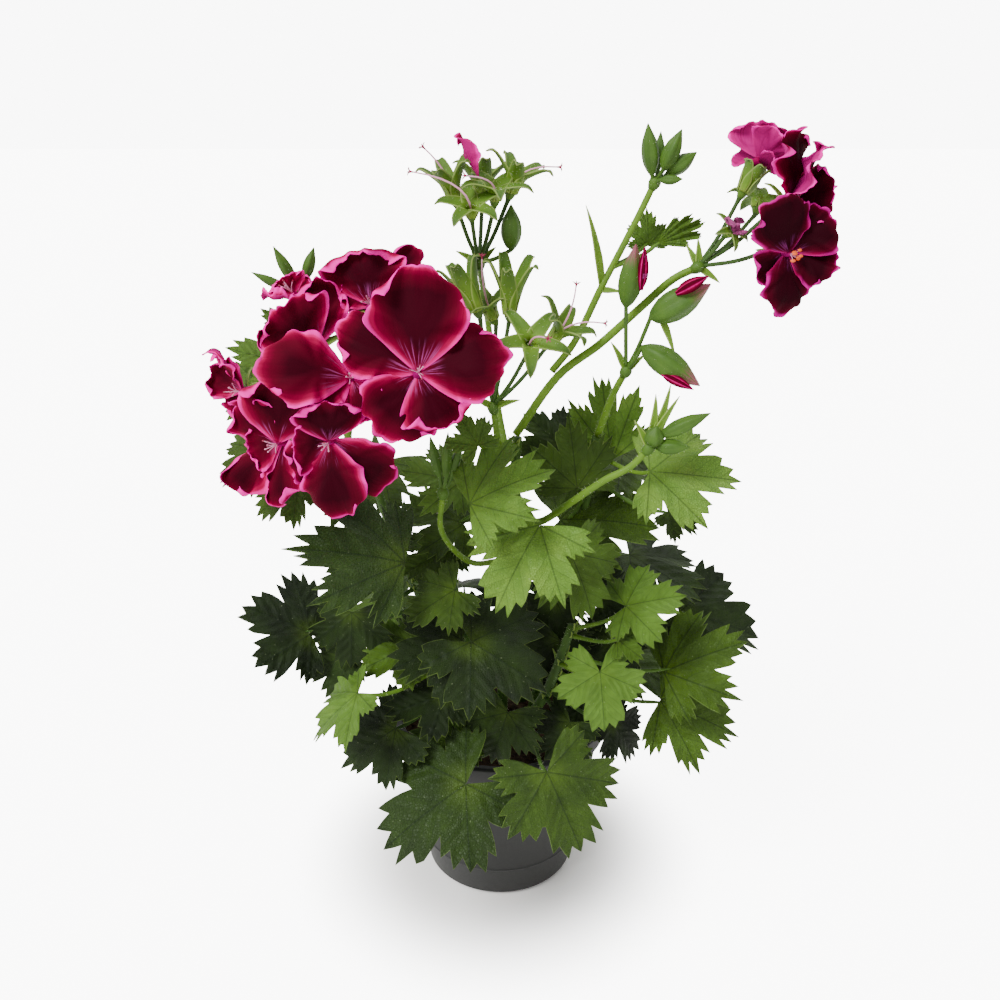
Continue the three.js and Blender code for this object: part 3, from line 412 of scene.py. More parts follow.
# Heights over a blade's plane, as shares of its length
PLEAT = 0.085
DROOP = 0.16
RIPPLE = 0.014
RIM_WAVE = 0.022
VEIN_DIP = 0.016
VEIN_DIP_WIDTH = 0.035

# Half a lobe's outline: degrees from its vein, and reach as a share of the lobe's own
TEETH = [(0, 1.0), (5, 0.84), (10, 0.95), (14, 0.79), (19, 0.87), (22.5, 0.73)]

# The rows of a blade from its middle to its rim, and those of a blade that the viewer doesn't see
BLADE_ROWS = [0.008, 0.13, 0.23, 0.34, 0.45, 0.56, 0.66, 0.76, 0.85, 0.92, 0.97, 1.0]
PLAIN_ROWS = [0.008, 0.2, 0.4, 0.6, 0.8, 0.93, 1.0]


def blade_frame(base, tip, facing, roll=0):
    """Length of a blade and its three directions: ahead, the face's normal, and right"""
    ahead = unit(tip - base)
    normal = np.asarray(facing, float)
    normal = unit(normal - ahead * np.dot(normal, ahead))
    normal = turned(normal, ahead, math.radians(roll))
    return np.linalg.norm(tip - base), ahead, normal, np.cross(ahead, normal)


def lobed_outline(halvings, draw, spread):
    """Turns in degrees round a blade's rim and the reach at each, with the teeth. They are blunter on a
    blade that is folded together."""
    turns, reaches = [], []
    sharp = min(1, 1.6 * spread)
    for i, (turn, reach) in enumerate(LOBES):
        before = BASE_REACH if i == 0 else SINUS_REACH * min(reach, LOBES[i - 1][1])
        reach *= draw(0.93, 1.04)
        teeth = [(d, reach * (1 - sharp * (1 - r))) for d, r in TEETH]
        knots = [(turn - LOBE_HALF, before), *((turn - d, r) for d, r in teeth[:0:-1])]
        knots += [(turn + d, r) for d, r in teeth]
        if i == len(LOBES) - 1:
            knots.append((turn + LOBE_HALF, BASE_REACH))
        for degree, share in knots:
            turns.append(degree + draw(-0.8, 0.8) * (0 < abs(degree - turn) < LOBE_HALF))
            reaches.append(share * draw(0.94, 1.05))
    knots = np.arange(len(turns))
    fine = np.linspace(0, len(turns) - 1, (len(turns) - 1) * halvings + 1)
    return np.interp(fine, knots, turns), np.interp(fine, knots, reaches)


def blade(skin, at, frame, tone, seed, spread, plain):
    """A lobed, toothed blade that droops to its tips, is pleated between its veins and ripples"""
    length, ahead, normal, right = frame
    draw = np.random.default_rng(seed).uniform
    turns, reaches = lobed_outline(1 if plain else 2, draw, spread)
    rows = np.array(PLAIN_ROWS if plain else BLADE_ROWS)[:, None]
    reach = rows * reaches
    angle = np.radians(turns * spread)
    off_vein = turns - LOBE_STEP * np.round(turns / LOBE_STEP)
    lean = np.radians(off_vein * spread)
    pleat = 0.5 - 0.5 * np.cos(math.pi * np.minimum(1, np.abs(off_vein) / LOBE_HALF))
    droops = np.interp(turns, [turn for turn, _ in LOBES], [draw(-0.09, 0.09) for _ in LOBES])
    height = PLEAT * reach * pleat - (DROOP + droops) * reach * reach
    ripple = RIPPLE * reach * np.sin(angle * draw(2, 4) + draw(0, 6))
    height += ripple * np.sin(reach * draw(4, 7) + draw(0, 6))
    height -= VEIN_DIP * reach * np.exp(-((reach * np.sin(lean) / VEIN_DIP_WIDTH) ** 2))
    height += rows**4 * RIM_WAVE * np.sin(np.radians(turns) * draw(7, 10) + draw(0, 6))
    across, along = length * reach * np.sin(angle), length * reach * np.cos(angle)
    middle = laid_out(at, (across, right), (along, ahead), (length * height, normal))
    uv = grid_of(reach * np.cos(lean), np.abs(reach * np.sin(lean)))
    edge = (1 - rows) * reaches * length
    normals = grid_normals(middle, normal)
    sheet(skin, middle, normals, LEAF_HALF_THICKNESS, uv, edge=edge, tone=tone, seed=seed % 97 / 97)


def leaf_stalk(skin, root, at, frame, tone):
    """A leaf's stalk sags a little and ends inside the blade, near where its veins meet"""
    length, ahead, normal, _ = frame
    end = at + ahead * (STALK_INSET * length)
    reach = np.linalg.norm(end - root)
    bend = root + (end - root) * 0.6 - UP * (0.06 * reach) - normal * (0.05 * reach)
    places = smooth_path([root, bend, end], STEM_STEPS)
    share = np.linspace(0, 1, len(places))
    radii = LEAF_STALK_RADIUS * (0.85 + 0.5 * (1 - share) ** 6)
    radii[-3:] *= [0.85, 0.65, 0.4]
    tube(skin, places, radii, skin.stalks, LEAF_STALK_SIDES, tone=tone)


def leaf(
    blades, stems, path, seed, at, tip, start, tone, spread=1, roll=0, facing=LEAF_FACING, plain=False
):
    """A blade, and its stalk from a share start of the stem's path. It returns the stalk's foot and way."""
    frame = blade_frame(at, tip, facing, roll)
    root = along_path(path, start)
    blade(blades, at, frame, tone, seed, spread, plain)
    # The stalk's tone follows the blade's, with its painted shade
    leaf_stalk(stems, root, at, frame, 0.35 + 0.5 * tone)
    return root, unit(at - root)


# Hairs, and small sheets that end in a point

# Where a hair's foot stands as a share of its stalk's radius, the turns of its three corners in radians,
# and its tone, which the stalk's material shows pale
HAIR_ROOTING = 0.93
HAIR_CORNERS = (0, 2.0944, 4.1888)
HAIR_TONE = 1.4
SHEET_COLUMNS = 5
SHEET_TIP = 0.04


def hairs(skin, stalks, spacing, seed, length=HAIR_LENGTH):
    """Fine pointed hairs that stand off each of the stalks"""
    rng = np.random.default_rng(seed)
    for places, radii in stalks:
        parts = zip(places, places[1:], radii, steps_of(places), tube_frames(places))
        for start, end, radius, step, (ahead, across, lift) in parts:
            for _ in range(rng.poisson(step * 2 * math.pi * radius / spacing**2)):
                turn, share = rng.uniform(0, 2 * math.pi), rng.uniform()
                spoke = across * math.cos(turn) + lift * math.sin(turn)
                foot = start + (end - start) * share + spoke * (radius * HAIR_ROOTING)
                line = unit(spoke + ahead * rng.uniform(-0.3, 0.5) + rng.normal(0, 0.15, 3))
                one_hair(skin, foot, line, length * rng.uniform(0.5, 1.2))


def one_hair(skin, foot, line, length):
    across = aside(line)
    lift = np.cross(line, across)
    ring = [foot + HAIR_RADIUS * (across * math.cos(a) + lift * math.sin(a)) for a in HAIR_CORNERS]
    skin.add([*ring, foot + line * length], [(0, 2, 1), (0, 1, 3), (1, 2, 3), (2, 0, 3)], tone=HAIR_TONE)


def pointed_sheet(skin, line, width, face, tone, cup=0.25, full=0.3, fade=0.0, hairy=0.0):
    """A narrow pointed blade along a curved line. It is widest at a share full of its length, its edges
    rise towards the side it faces, and it darkens by fade to its tip. Hairs stand on it at a share hairy
    of its width from its middle."""
    if hairy:
        skin.fine_stalks.append((line, np.full(len(line), width * hairy)))
    share = np.linspace(0, 1, len(line))
    ahead = units(np.gradient(line, axis=0))
    across = units(np.cross(ahead, face))
    lift = np.cross(across, ahead)
    rise = np.where(share < full, 0.7 + 0.3 * np.sin(share / full * math.pi / 2), 1)
    fall = np.clip((1 - share) / (1 - full), 0, 1) ** 0.8
    half = (width / 2 * rise * np.where(share < full, 1, fall) + SHEET_TIP)[:, None]
    side = np.linspace(-1, 1, SHEET_COLUMNS)
    middle = laid_out(line[:, None], (half * side, across[:, None]), (cup * half * side**2, lift[:, None]))
    sheet(
        skin, middle, grid_normals(middle, lift[len(lift) // 2]), SEPAL_HALF_THICKNESS,
        grid_of(side, share[:, None]), edge=half * (1 - np.abs(side)), tone=tone - fade * share[:, None],
    )


def bend_line(start, control, end, steps=9):
    t = np.linspace(0, 1, steps)[:, None]
    return (1 - t) ** 2 * start + 2 * t * (1 - t) * control + t * t * end


# Flower stalks, calyces and buds

# The cup of a calyx: shares of its length, and its girth there as a share of its radius
CUP_PLACES = np.array([0.15, 0.4, 0.7, 1.0])
CUP_GIRTHS = np.array([0.6, 0.8, 0.95, 0.9])
CUP_FOOT_RADIUS = 1.1
CALYX_BACK = 6.5

# Sepals and bracts: how many, how wide, how far out the sepals' tips begin, and their forms. Hidden
# sepals are those behind a bloom.
SEPALS = 5
SEPAL_WIDTH = 7
HIDDEN_SEPAL_WIDTH = 3.2
SEPAL_OUTSET = 3.4
SEPAL_FORM = dict(tone=0.94, cup=0.35, full=0.42, fade=0.55, hairy=0.2)
HIDDEN_SEPAL_LENGTH = 8
HIDDEN_SEPAL_LEAN = 100
BRACT_FORM = dict(tone=0.75, full=0.35, hairy=0.25)
BRACT_FACING = np.array([0.1, -0.9, 0.3])

# A style's radius at its foot and end, its stigmas, how far they reach ahead and aside, and their radii
STYLE_RADII = (0.5, 0.3)
STIGMAS = 5
STIGMA_AHEAD = 2.2
STIGMA_ASIDE = 1.8
STIGMA_RADII = [0.28, 0.3, 0.28, 0.24, 0.12]

# The knob at a stalk's end: places along it and girth there, both as shares of its radius
HUB_PLACES = np.array([-1.3, -0.8, -0.3, 0.2, 0.6, 0.9, 1.05])
HUB_GIRTHS = np.array([0.6, 0.85, 1.0, 1.0, 0.8, 0.45, 0.1])

# A bud's outline: shares of its length, and its girth there as a share of its width
BUD_SIDES = 35
BUD_ROWS = 19
BUD_RIDGES = 0.08
BUD_GIRTHS = (
    [0, 0.1, 0.22, 0.35, 0.5, 0.65, 0.8, 0.9, 0.97, 1.0],
    [0.3, 0.62, 0.87, 1.0, 0.98, 0.84, 0.52, 0.28, 0.12, 0.03],
)


def pedicel_route(hub, end):
    """A pedicel leaves the side of its hub and sags a little on its way to what it carries"""
    start = hub + unit(end - hub) * (HUB_RADIUS * 0.75)
    bend = (start + end) / 2 - UP * (0.05 * np.linalg.norm(end - hub))
    return [start, bend, end]


def calyx(skin, hub, at, facing, lean, length, turn=0, back=0):
    """A pedicel and its calyx: a cup that opens into pointed sepals, which lean out from its line by an
    angle in degrees. Behind a bloom it stands a distance back."""
    outward = unit(facing)
    root = seen(at) - outward * back
    stem = smooth_path(pedicel_route(hub, root), STALK_STEPS)
    cup = root + np.outer(CALYX_LENGTH * CUP_PLACES, outward)
    places = np.concatenate([stem, cup])
    radii = [*[PEDICEL_RADIUS] * (len(stem) - 1), CUP_FOOT_RADIUS, *CALYX_RADIUS * CUP_GIRTHS]
    tones = np.repeat([PEDICEL_TONE, CALYX_TONE], [len(stem), len(cup)])
    tube(skin, places, radii, skin.fine_stalks, PEDICEL_SIDES, tone=np.repeat(tones, PEDICEL_SIDES))
    across, angle = aside(outward), math.radians(lean)
    width = SEPAL_WIDTH if back == 0 else HIDDEN_SEPAL_WIDTH
    for k in range(SEPALS):
        spoke = turned(across, outward, turn + 2 * math.pi * k / SEPALS)
        start = root + outward * (CALYX_LENGTH * 0.6) + spoke * (CALYX_RADIUS * 0.85)
        tip = root + outward * (CALYX_LENGTH + length * math.cos(angle))
        tip = tip + spoke * (SEPAL_OUTSET + length * math.sin(angle))
        rise = start + outward * (0.34 * length) + spoke * (0.06 * length)
        arch = start + (tip - start) * 0.7 + outward * (0.2 * length)
        line = smooth_path([start, rise, arch, tip - outward * (0.08 * length)], SEPAL_STEPS)
        pointed_sheet(skin, line, width, outward - spoke * 0.2, **SEPAL_FORM)


def behind_bloom(name):
    """What calyx needs for the one behind a bloom, its sepals bent back under the petals"""
    entry = BLOOMS[name]
    length = entry.get("sepal_length", HIDDEN_SEPAL_LENGTH)
    return entry["at"], entry["facing"], HIDDEN_SEPAL_LEAN, length, 0, CALYX_BACK


def style(skin, at, facing, tip):
    """A pale style that is left in a spent calyx, with short curled stigmas at its end"""
    outward = unit(facing)
    foot = seen(at) + outward * CALYX_LENGTH
    tip = seen(tip)
    line = bend_line(foot, foot + outward * (0.5 * np.linalg.norm(tip - foot)), tip, 8)
    tube(skin, line, np.linspace(*STYLE_RADII, 8), sides=STYLE_SIDES, tone=STYLE_TONE)
    ahead = unit(line[-1] - line[-2])
    across = unit(np.cross(ahead, SIDEWAYS))
    for k in range(STIGMAS):
        spoke = turned(across, ahead, 2 * math.pi * k / STIGMAS)
        end = tip + ahead * 2 + spoke * STIGMA_ASIDE
        lobe = bend_line(tip - ahead * 0.3, tip + ahead * STIGMA_AHEAD, end, len(STIGMA_RADII))
        tube(skin, lobe, STIGMA_RADII, sides=THREAD_SIDES, tone=STIGMA_TONE)


def swollen_bud(skin, root, tip, width, before=(), ridges=BUD_RIDGES, blush=0.0, rim=1.0):
    """A closed pointed bud, with the line of its pedicel before it where it has one. It blushes towards
    its tip. The pale lines along its ridges are narrower where rim is large."""
    share = np.linspace(0, 1, BUD_ROWS)
    girth = np.interp(share, *BUD_GIRTHS) * width / 2
    girth[0] = PEDICEL_RADIUS
    body = root + np.outer(share, tip - root)
    places = np.concatenate([before[:-1], body]) if len(before) else body
    stem = np.zeros(len(places) - len(body))
    folds = 1.3 + 0.85 * np.cos(RIDGES * around(BUD_SIDES))
    radii = np.concatenate([stem + PEDICEL_RADIUS, girth])
    ribs = np.concatenate([stem, ridges * smooth_step(0, 0.2, share)])
    ripe = np.repeat(np.concatenate([stem, blush * share]), BUD_SIDES)
    edge = np.tile(folds * rim, len(places))
    tube(skin, places, radii, skin.fine_stalks, BUD_SIDES, ribs, edge=edge, tone=BUD_TONE, seed=ripe)


def bract(skin, hub, tip, width=3, at=None):
    """A narrow pointed leaf from the stalk's hub, or from a place of its own"""
    root, tip = hub if at is None else seen(at), seen(tip)
    ahead = unit(tip - root)
    control = (root + tip) / 2 + np.cross(aside(ahead), ahead) * (0.06 * np.linalg.norm(tip - root))
    face = unit(BRACT_FACING - ahead * np.dot(BRACT_FACING, ahead))
    pointed_sheet(skin, bend_line(root, control, tip), width, face, **BRACT_FORM)


def hub_knob(skin, hub, before):
    """The swollen end of a stalk, from which its pedicels leave"""
    places = hub + np.outer(HUB_PLACES * HUB_RADIUS, unit(hub - before))
    tube(skin, places, HUB_RADIUS * HUB_GIRTHS, skin.stalks, STEM_SIDES, tone=HUB_TONE)


def stalk_places(entry):
    """The places of a stalk's path, of which the first is moved along to where the stalk begins"""
    places = [seen(p) for p in entry["path"]]
    ahead = unit(places[1] - places[0])
    places[0] = places[0] + ahead * entry.get("start", 0)
    return places


def flower_stalk(name, entry, seed):
    """A stalk and what grows from its end: calyces, buds, narrow bracts and small leaves"""
    green, blades, pale = Skin(), Skin(), Skin()
    places = stalk_places(entry)
    hub = places[-1]
    line = smooth_path(places, STALK_STEPS)
    radius = entry.get("radius", FLOWER_STALK_RADIUS)
    radii = np.linspace(radius, radius * STALK_TAPER, len(line))
    tube(green, line, radii, green.stalks, STEM_SIDES, tone=STALK_TONE)
    hub_knob(green, hub, places[-2])
    for one in entry.get("calyces", ()):
        calyx(green, hub, *(behind_bloom(one) if isinstance(one, str) else one))
    for root, tip, width in entry.get("buds", ()):
        route = smooth_path(pedicel_route(hub, seen(root)), BUD_STEPS)
        swollen_bud(green, seen(root), seen(tip), width, route, blush=entry.get("blush", 0.0))
    for one in entry.get("bracts", ()):
        bract(green, hub, *one)
    for i, (at, tip, *form) in enumerate(entry.get("leaves", ())):
        leaf(blades, green, places, seed + i, seen(at), seen(tip), *form)
    hairs(green, green.stalks, STALK_HAIR_SPACING, seed)
    hairs(green, green.fine_stalks, HAIR_SPACING, seed + 1, FINE_HAIR_LENGTH)
    green.piece(name + "_green", STALK, "stalk", (name,))
    for order, tip in entry.get("styles", ()):
        style(pale, *entry["calyces"][order][:2], tip)
    if pale.count:
        pale.piece(name + "_styles", PISTIL, "petal")
    if blades.count:
        blades.piece(name + "_blades", LEAF, "leaf")


# Petals

PETAL_ROWS = 36
PETAL_COLUMNS = 57
PETAL_ROUNDING = 0.2
PETAL_FULLNESS = 1.13
FOLD_START = 0.6
HEART_GIRTHS = np.array([0.6, 0.9, 0.9, 0.7, 0.45, 0.15])

# Stamens: how many, how far they scatter, their least and greatest length, and the radii of thread and
# knob. The places along an anther are shares of its half length.
STAMENS = 7
STAMEN_SCATTER = 0.32
STAMEN_LENGTHS = (4.5, 7.5)
STAMEN_RADII = (0.28, 0.16)
KNOB_RADII = [0.2, 0.42, 0.15]
ANTHER_PLACES = [-1, -0.6, 0, 0.6, 1]
ANTHER_RADII = [0.2, 0.55, 0.7, 0.55, 0.2]
ANTHER_HALF_LENGTH = 1.1

# Ruffles as shares of a petal's length, and how far they reach in from the rim as a share of its width.
# The fine crinkle of the rim is in millimetres.
RUFFLE = 0.1
SECOND_RUFFLE = 0.036
RUFFLE_REACH = 0.13
CRINKLE = 0.2
CRINKLE_REACH = 0.9


def petal_spread(share):
    """Width of a petal along its length, as a share of its full width: a narrow claw, then a fan"""
    opening = np.sin(math.pi / 2 * np.minimum(1, share / 0.7))
    closing = np.maximum(0, (share - 0.7) / 0.3)
    return (0.1 + 0.9 * opening) * (1 - 0.25 * closing**2 - 0.15 * closing**6)


def petal_height(share, side, length, bulge=0.1, curl=0.1, wave=0.05):
    """Height over its own plane: a bulge along it, a tip that curls back and a wavy rim"""
    curled = np.maximum(0, share - 0.5)
    return length * (
        bulge * np.sin(math.pi * share) * (1 - 0.5 * side**2)
        - 4 * curl * curled**3
        + wave * share**2 * np.cos(1.5 * math.pi * (side + 1))
    )


def folded_over(share, fold):
    """Place along a petal and height over it, for a length of 1, when its end folds over by an angle"""
    turn = math.radians(fold) * smooth_step(FOLD_START, 1.0, (share[1:] + share[:-1]) / 2)
    steps = np.diff(share)
    along = np.concatenate([[0], np.cumsum(np.cos(turn) * steps)])
    height = np.concatenate([[0], np.cumsum(np.sin(turn) * steps)])
    return along / along.max(), height / along.max()


def petal(skin, base, tip, facing, seed, tone, width, fold, roll=0, form=None, ruffle=1.0):
    """A broad petal, cupped, whose rim folds, ruffles and crinkles"""
    length, ahead, normal, right = blade_frame(base, tip, facing, roll)
    draw = np.random.default_rng(seed).uniform
    width *= PETAL_FULLNESS
    share = 1 - (1 - np.linspace(0, 1, PETAL_ROWS)) ** 1.3
    side = np.sin(np.linspace(-1, 1, PETAL_COLUMNS) * math.pi / 2 * 0.97)
    s, q = share[:, None], side / side[-1]
    half = width / 2 * petal_spread(s)
    ahead_of, over = folded_over(share, fold)
    along = length * ahead_of[:, None] * (1 - PETAL_ROUNDING * q**2 - 0.1 * q**6 * s**3)
    across = half * q
    edge = np.minimum((1 - np.abs(q)) * half, (1 - s) * length * (1 - PETAL_ROUNDING * q**2))
    margin = np.arctan2(across, along - 0.35 * length)
    opened = smooth_step(0.15, 0.6, s)
    near = np.exp(-edge / (RUFFLE_REACH * width)) * opened * ruffle
    brim = np.exp(-edge / CRINKLE_REACH) * opened * ruffle
    waves, second, crinkle = draw(6, 9), draw(12, 17), draw(34, 44)
    phase = draw(0, 6.28, 6)
    height = petal_height(s, q, length, **(form or {})) + length * over[:, None] * (1 - 0.3 * q**2)
    height += near * length * (RUFFLE * np.sin(waves * margin + phase[0]) + draw(-0.08, 0.1))
    height += near * length * SECOND_RUFFLE * np.sin(second * margin + phase[1])
    height += brim * CRINKLE * np.sin(crinkle * margin + phase[2])
    height += opened * length * (0.02 * np.sin(5 * q + phase[3]) + 0.016 * np.sin(7 * s + 3 * q + phase[4]))
    height += draw(-0.02, 0.1) * length * q**2 * s
    push = 1 + 0.025 * near * np.sin(second * margin + phase[5]) + 0.006 * brim * np.sin(crinkle * margin)
    middle = laid_out(base, (across * push, right), (along * push, ahead), (height, normal))
    uv = grid_of(s, (q + 1) / 2)
    normals = grid_normals(middle, normal)
    sheet(skin, middle, normals, PETAL_HALF_THICKNESS, uv, edge=edge, tone=tone, seed=seed % 97 / 97)


def petal_foot(heart, outward, tip, layer):
    """Where a petal's claw stands beside the heart. Each petal has a layer of its own."""
    away = tip - heart
    away = unit(away - outward * np.dot(away, outward))
    return heart + outward * (PETAL_LAYER * layer) + away * CLAW_INSET


def bloom(name, entry, seed):
    """An open bloom: its petals round the heart, and the fine stamens that stand in it"""
    heart, outward = seen(entry["at"]), unit(entry["facing"])
    petals, fine, count = Skin(), Skin(), len(entry["petals"])
    core = heart + np.outer(np.linspace(-1, PETAL_LAYER * count, len(HEART_GIRTHS)), outward)
    tube(petals, core, BLOOM_HEART_RADIUS * HEART_GIRTHS, sides=PEDICEL_SIDES, tone=1.0)
    for i, (tip, *form) in enumerate(entry["petals"]):
        tip = seen(tip)
        foot = petal_foot(heart, outward, tip, count - 1 - i)
        petal(petals, foot, tip, outward, seed * 31 + i * 7, entry.get("depth", 0.0), *form)
    if name == "bloom_withered":
        petals.piece(name + "_petals", WITHERED, "petal_withered", (name,))
    else:
        petals.piece(name + "_petals", PETAL, "petal", (name,))
        stamens(fine, heart + outward * (PETAL_LAYER * count * 0.6), outward, seed, "ripe" in entry)
        fine.piece(name + "_stamens", PISTIL, "petal")


def stamens(skin, heart, outward, seed, ripe):
    """Curved threads that stand in the throat. Those of a ripe bloom end in orange anthers."""
    rng = np.random.default_rng(seed)
    for _ in range(STAMENS):
        line = unit(outward + rng.normal(0, STAMEN_SCATTER, 3))
        tip = heart + line * rng.uniform(*STAMEN_LENGTHS)
        places = bend_line(heart, heart + outward * 3, tip, 6)
        tube(skin, places, np.linspace(*STAMEN_RADII, 6), sides=THREAD_SIDES, tone=FILAMENT_TONE)
        if ripe:
            anther = tip + np.outer(ANTHER_PLACES, unit(np.cross(line, UP)) * ANTHER_HALF_LENGTH)
            tube(skin, anther, ANTHER_RADII, tone=ANTHER_TONE)
        knob = tip + np.outer([-0.5, 0, 0.5], line)
        tube(skin, knob, KNOB_RADII, sides=THREAD_SIDES, tone=rng.uniform(0.0, FILAMENT_TONE))


def last_petal(at, tip, facing, **shape):
    """The one petal left on a spent umbel, folded together"""
    skin = Skin()
    petal(skin, seen(at), seen(tip), -unit(facing), LAST_PETAL_SEED, 0.0, **shape)
    skin.piece("last_petal_blade", PETAL, "petal", ("last_petal",))


# The whole plant


def leafy_stem(name, entry, seed):
    """A stem with its leaves: those of the table, or a ring of them where the viewer doesn't see it"""
    blades, stems = Skin(), Skin()
    places = [np.array(p, float) for p in entry["path"]]
    line = smooth_path(places, STEM_STEPS)
    radii = STEM_FOOT_RADIUS + (STEM_TOP_RADIUS - STEM_FOOT_RADIUS) * np.linspace(0, 1, len(line))
    tube(stems, line, radii, stems.stalks, STEM_SIDES, tone=STEM_TONE)
    if "ring" in entry:
        leaves = ring_of_leaves(places, **entry["ring"])
    else:
        leaves = [(seen(at), seen(tip), *form) for at, tip, *form in entry["leaves"]]
    for i, one in enumerate(leaves):
        stipules(stems, *leaf(blades, stems, places, seed * 101 + i * 13, *one))
    hairs(stems, stems.stalks, HAIR_SPACING, seed)
    blades.piece(name + "_blades", LEAF, "leaf", (name,))
    stems.piece(name + "_stems", STALK, "stalk")


def stipules(skin, root, out):
    """The pair of small pointed scales where a leaf's stalk leaves the stem"""
    across = unit(np.cross(out, UP))
    for sign in (-1, 1):
        start = root + out * STEM_TOP_RADIUS * 0.7 + across * sign
        tip = start + out * STIPULE_WIDTH + UP * STIPULE_HEIGHT + across * sign * 2.0
        line = bend_line(start, start + out * 1.5, tip, 5)
        pointed_sheet(skin, line, STIPULE_WIDTH, out, STIPULE_TONE)


def ring_of_leaves(places, seed, count, low, high, first, last, reach, length):
    """Leaves that stand round a stem at rising heights, now on one side and now on the other"""
    draw = draws_from(seed)
    leaves = []
    for i in range(count):
        share = (i + 0.5) / count
        height = low + (high - low) * share
        turn = math.radians((first if i % 2 == 0 else last) + draw(-18, 18))
        outward = np.array([math.cos(turn), math.sin(turn), 0])
        start = 0.4 + 0.55 * share
        root = along_path(places, start)
        at = np.array([root[0], root[1], height]) + outward * (reach * draw(0.8, 1.15))
        tip = at + (outward - UP * draw(0.15, 0.5)) * length
        facing = (outward[0] * 0.4, outward[1] * 0.4, 0.9)
        tone = 0.15 + 0.5 * ((i * 5) % 7) / 7
        leaves.append((at, tip, start, tone, 1, 0, facing, True))
    return leaves


# Pot and soil


def wall_radius(height):
    """The pot's outer radius at a height, without its lip"""
    return POT_BASE_RADIUS + (POT_RIM_RADIUS - POT_LIP - POT_BASE_RADIUS) * height / POT_HEIGHT


def lathe(skin, profile, sides):
    """A surface turned about the upright axis from a line of radii and heights"""
    rings = [ring_points(radius, sides, height) for radius, height in profile]
    skin.add(np.concatenate(rings), grid_faces(len(rings), sides, closed=True))


def rounded(places, radius):
    """A line with each of its inner corners cut into three, so that it shades softly"""
    places = [np.asarray(p, float) for p in places]
    out = [places[0]]
    for before, here, after in zip(places, places[1:], places[2:]):
        back, on = before - here, after - here
        cut = min(radius, 0.4 * np.linalg.norm(back), 0.4 * np.linalg.norm(on))
        a, b = here + unit(back) * cut, here + unit(on) * cut
        out += [a, (a + b + 2 * here) / 4, b]
    return out + [places[-1]]


def ring_points(radius, count, height, middle=(0, 0)):
    turns = around(count)
    x, y = middle[0] + radius * np.cos(turns), middle[1] + radius * np.sin(turns)
    return np.stack([x, y, np.full(count, height)], axis=1)


def drilled_floor(skin, radius, height, upwards):
    """The flat floor at one height. It returns the rims of its drain holes."""
    turns = [2 * math.pi * k / DRAIN_HOLES for k in range(DRAIN_HOLES)]
    centres = [(DRAIN_CIRCLE * math.cos(turn), DRAIN_CIRCLE * math.sin(turn)) for turn in turns]
    rims = [ring_points(radius, POT_SIDES, height)]
    rims += [ring_points(DRAIN_RADIUS, DRAIN_SIDES, height, centre) for centre in centres]
    edges, start = [], 0
    for rim in rims:
        count = len(rim)
        edges += [(start + i, start + (i + 1) % count) for i in range(count)]
        start += count
    flat = [Vector(p[:2]) for p in np.concatenate(rims)]
    corners, _, faces, *_ = delaunay_2d_cdt(flat, edges, [], 1, 1e-6)
    corners = np.array([[p.x, p.y, height] for p in corners])
    kept = []
    for face in faces:
        middle = corners[list(face)][:, :2].mean(axis=0)
        if all(np.linalg.norm(middle - centre) > DRAIN_RADIUS for centre in centres):
            kept.append(tuple(face) if upwards else tuple(face)[::-1])
    skin.add(corners, kept)
    return rims[1:]


def pot():
    """The pot's wall with its lip and ring, its floor with the drain holes, and the holes' walls"""
    skin = Skin()
    lip_foot = POT_HEIGHT - POT_LIP_DEPTH
    ring = POT_RING_SIZE
    inside = wall_radius(POT_WALL) - POT_WALL
    outline = [
        (POT_BASE_RADIUS - POT_FOOT_BEVEL, 0),
        (wall_radius(POT_FOOT_BEVEL), POT_FOOT_BEVEL),
        (wall_radius(POT_RING_HEIGHT - ring), POT_RING_HEIGHT - ring),
        (wall_radius(POT_RING_HEIGHT) + ring, POT_RING_HEIGHT),
        (wall_radius(POT_RING_HEIGHT + ring), POT_RING_HEIGHT + ring),
        (wall_radius(lip_foot), lip_foot),
        (POT_RIM_RADIUS - POT_LIP_TAPER, lip_foot),
        (POT_RIM_RADIUS, POT_HEIGHT - POT_LIP_BEVEL),
        (POT_RIM_RADIUS - POT_LIP_BEVEL, POT_HEIGHT),
        (wall_radius(POT_HEIGHT) - POT_WALL, POT_HEIGHT),
        (inside, POT_WALL),
    ]
    lathe(skin, rounded(outline, POT_ROUNDING), POT_SIDES)
    below = drilled_floor(skin, POT_BASE_RADIUS - POT_FOOT_BEVEL, 0, upwards=False)
    above = drilled_floor(skin, inside, POT_WALL, upwards=True)
    for low, high in zip(below, above):
        skin.add(np.concatenate([low, high]), grid_faces(2, len(low), closed=True, flip=True))
    skin.piece("pot_shell", POT, "pot", ("pot",))


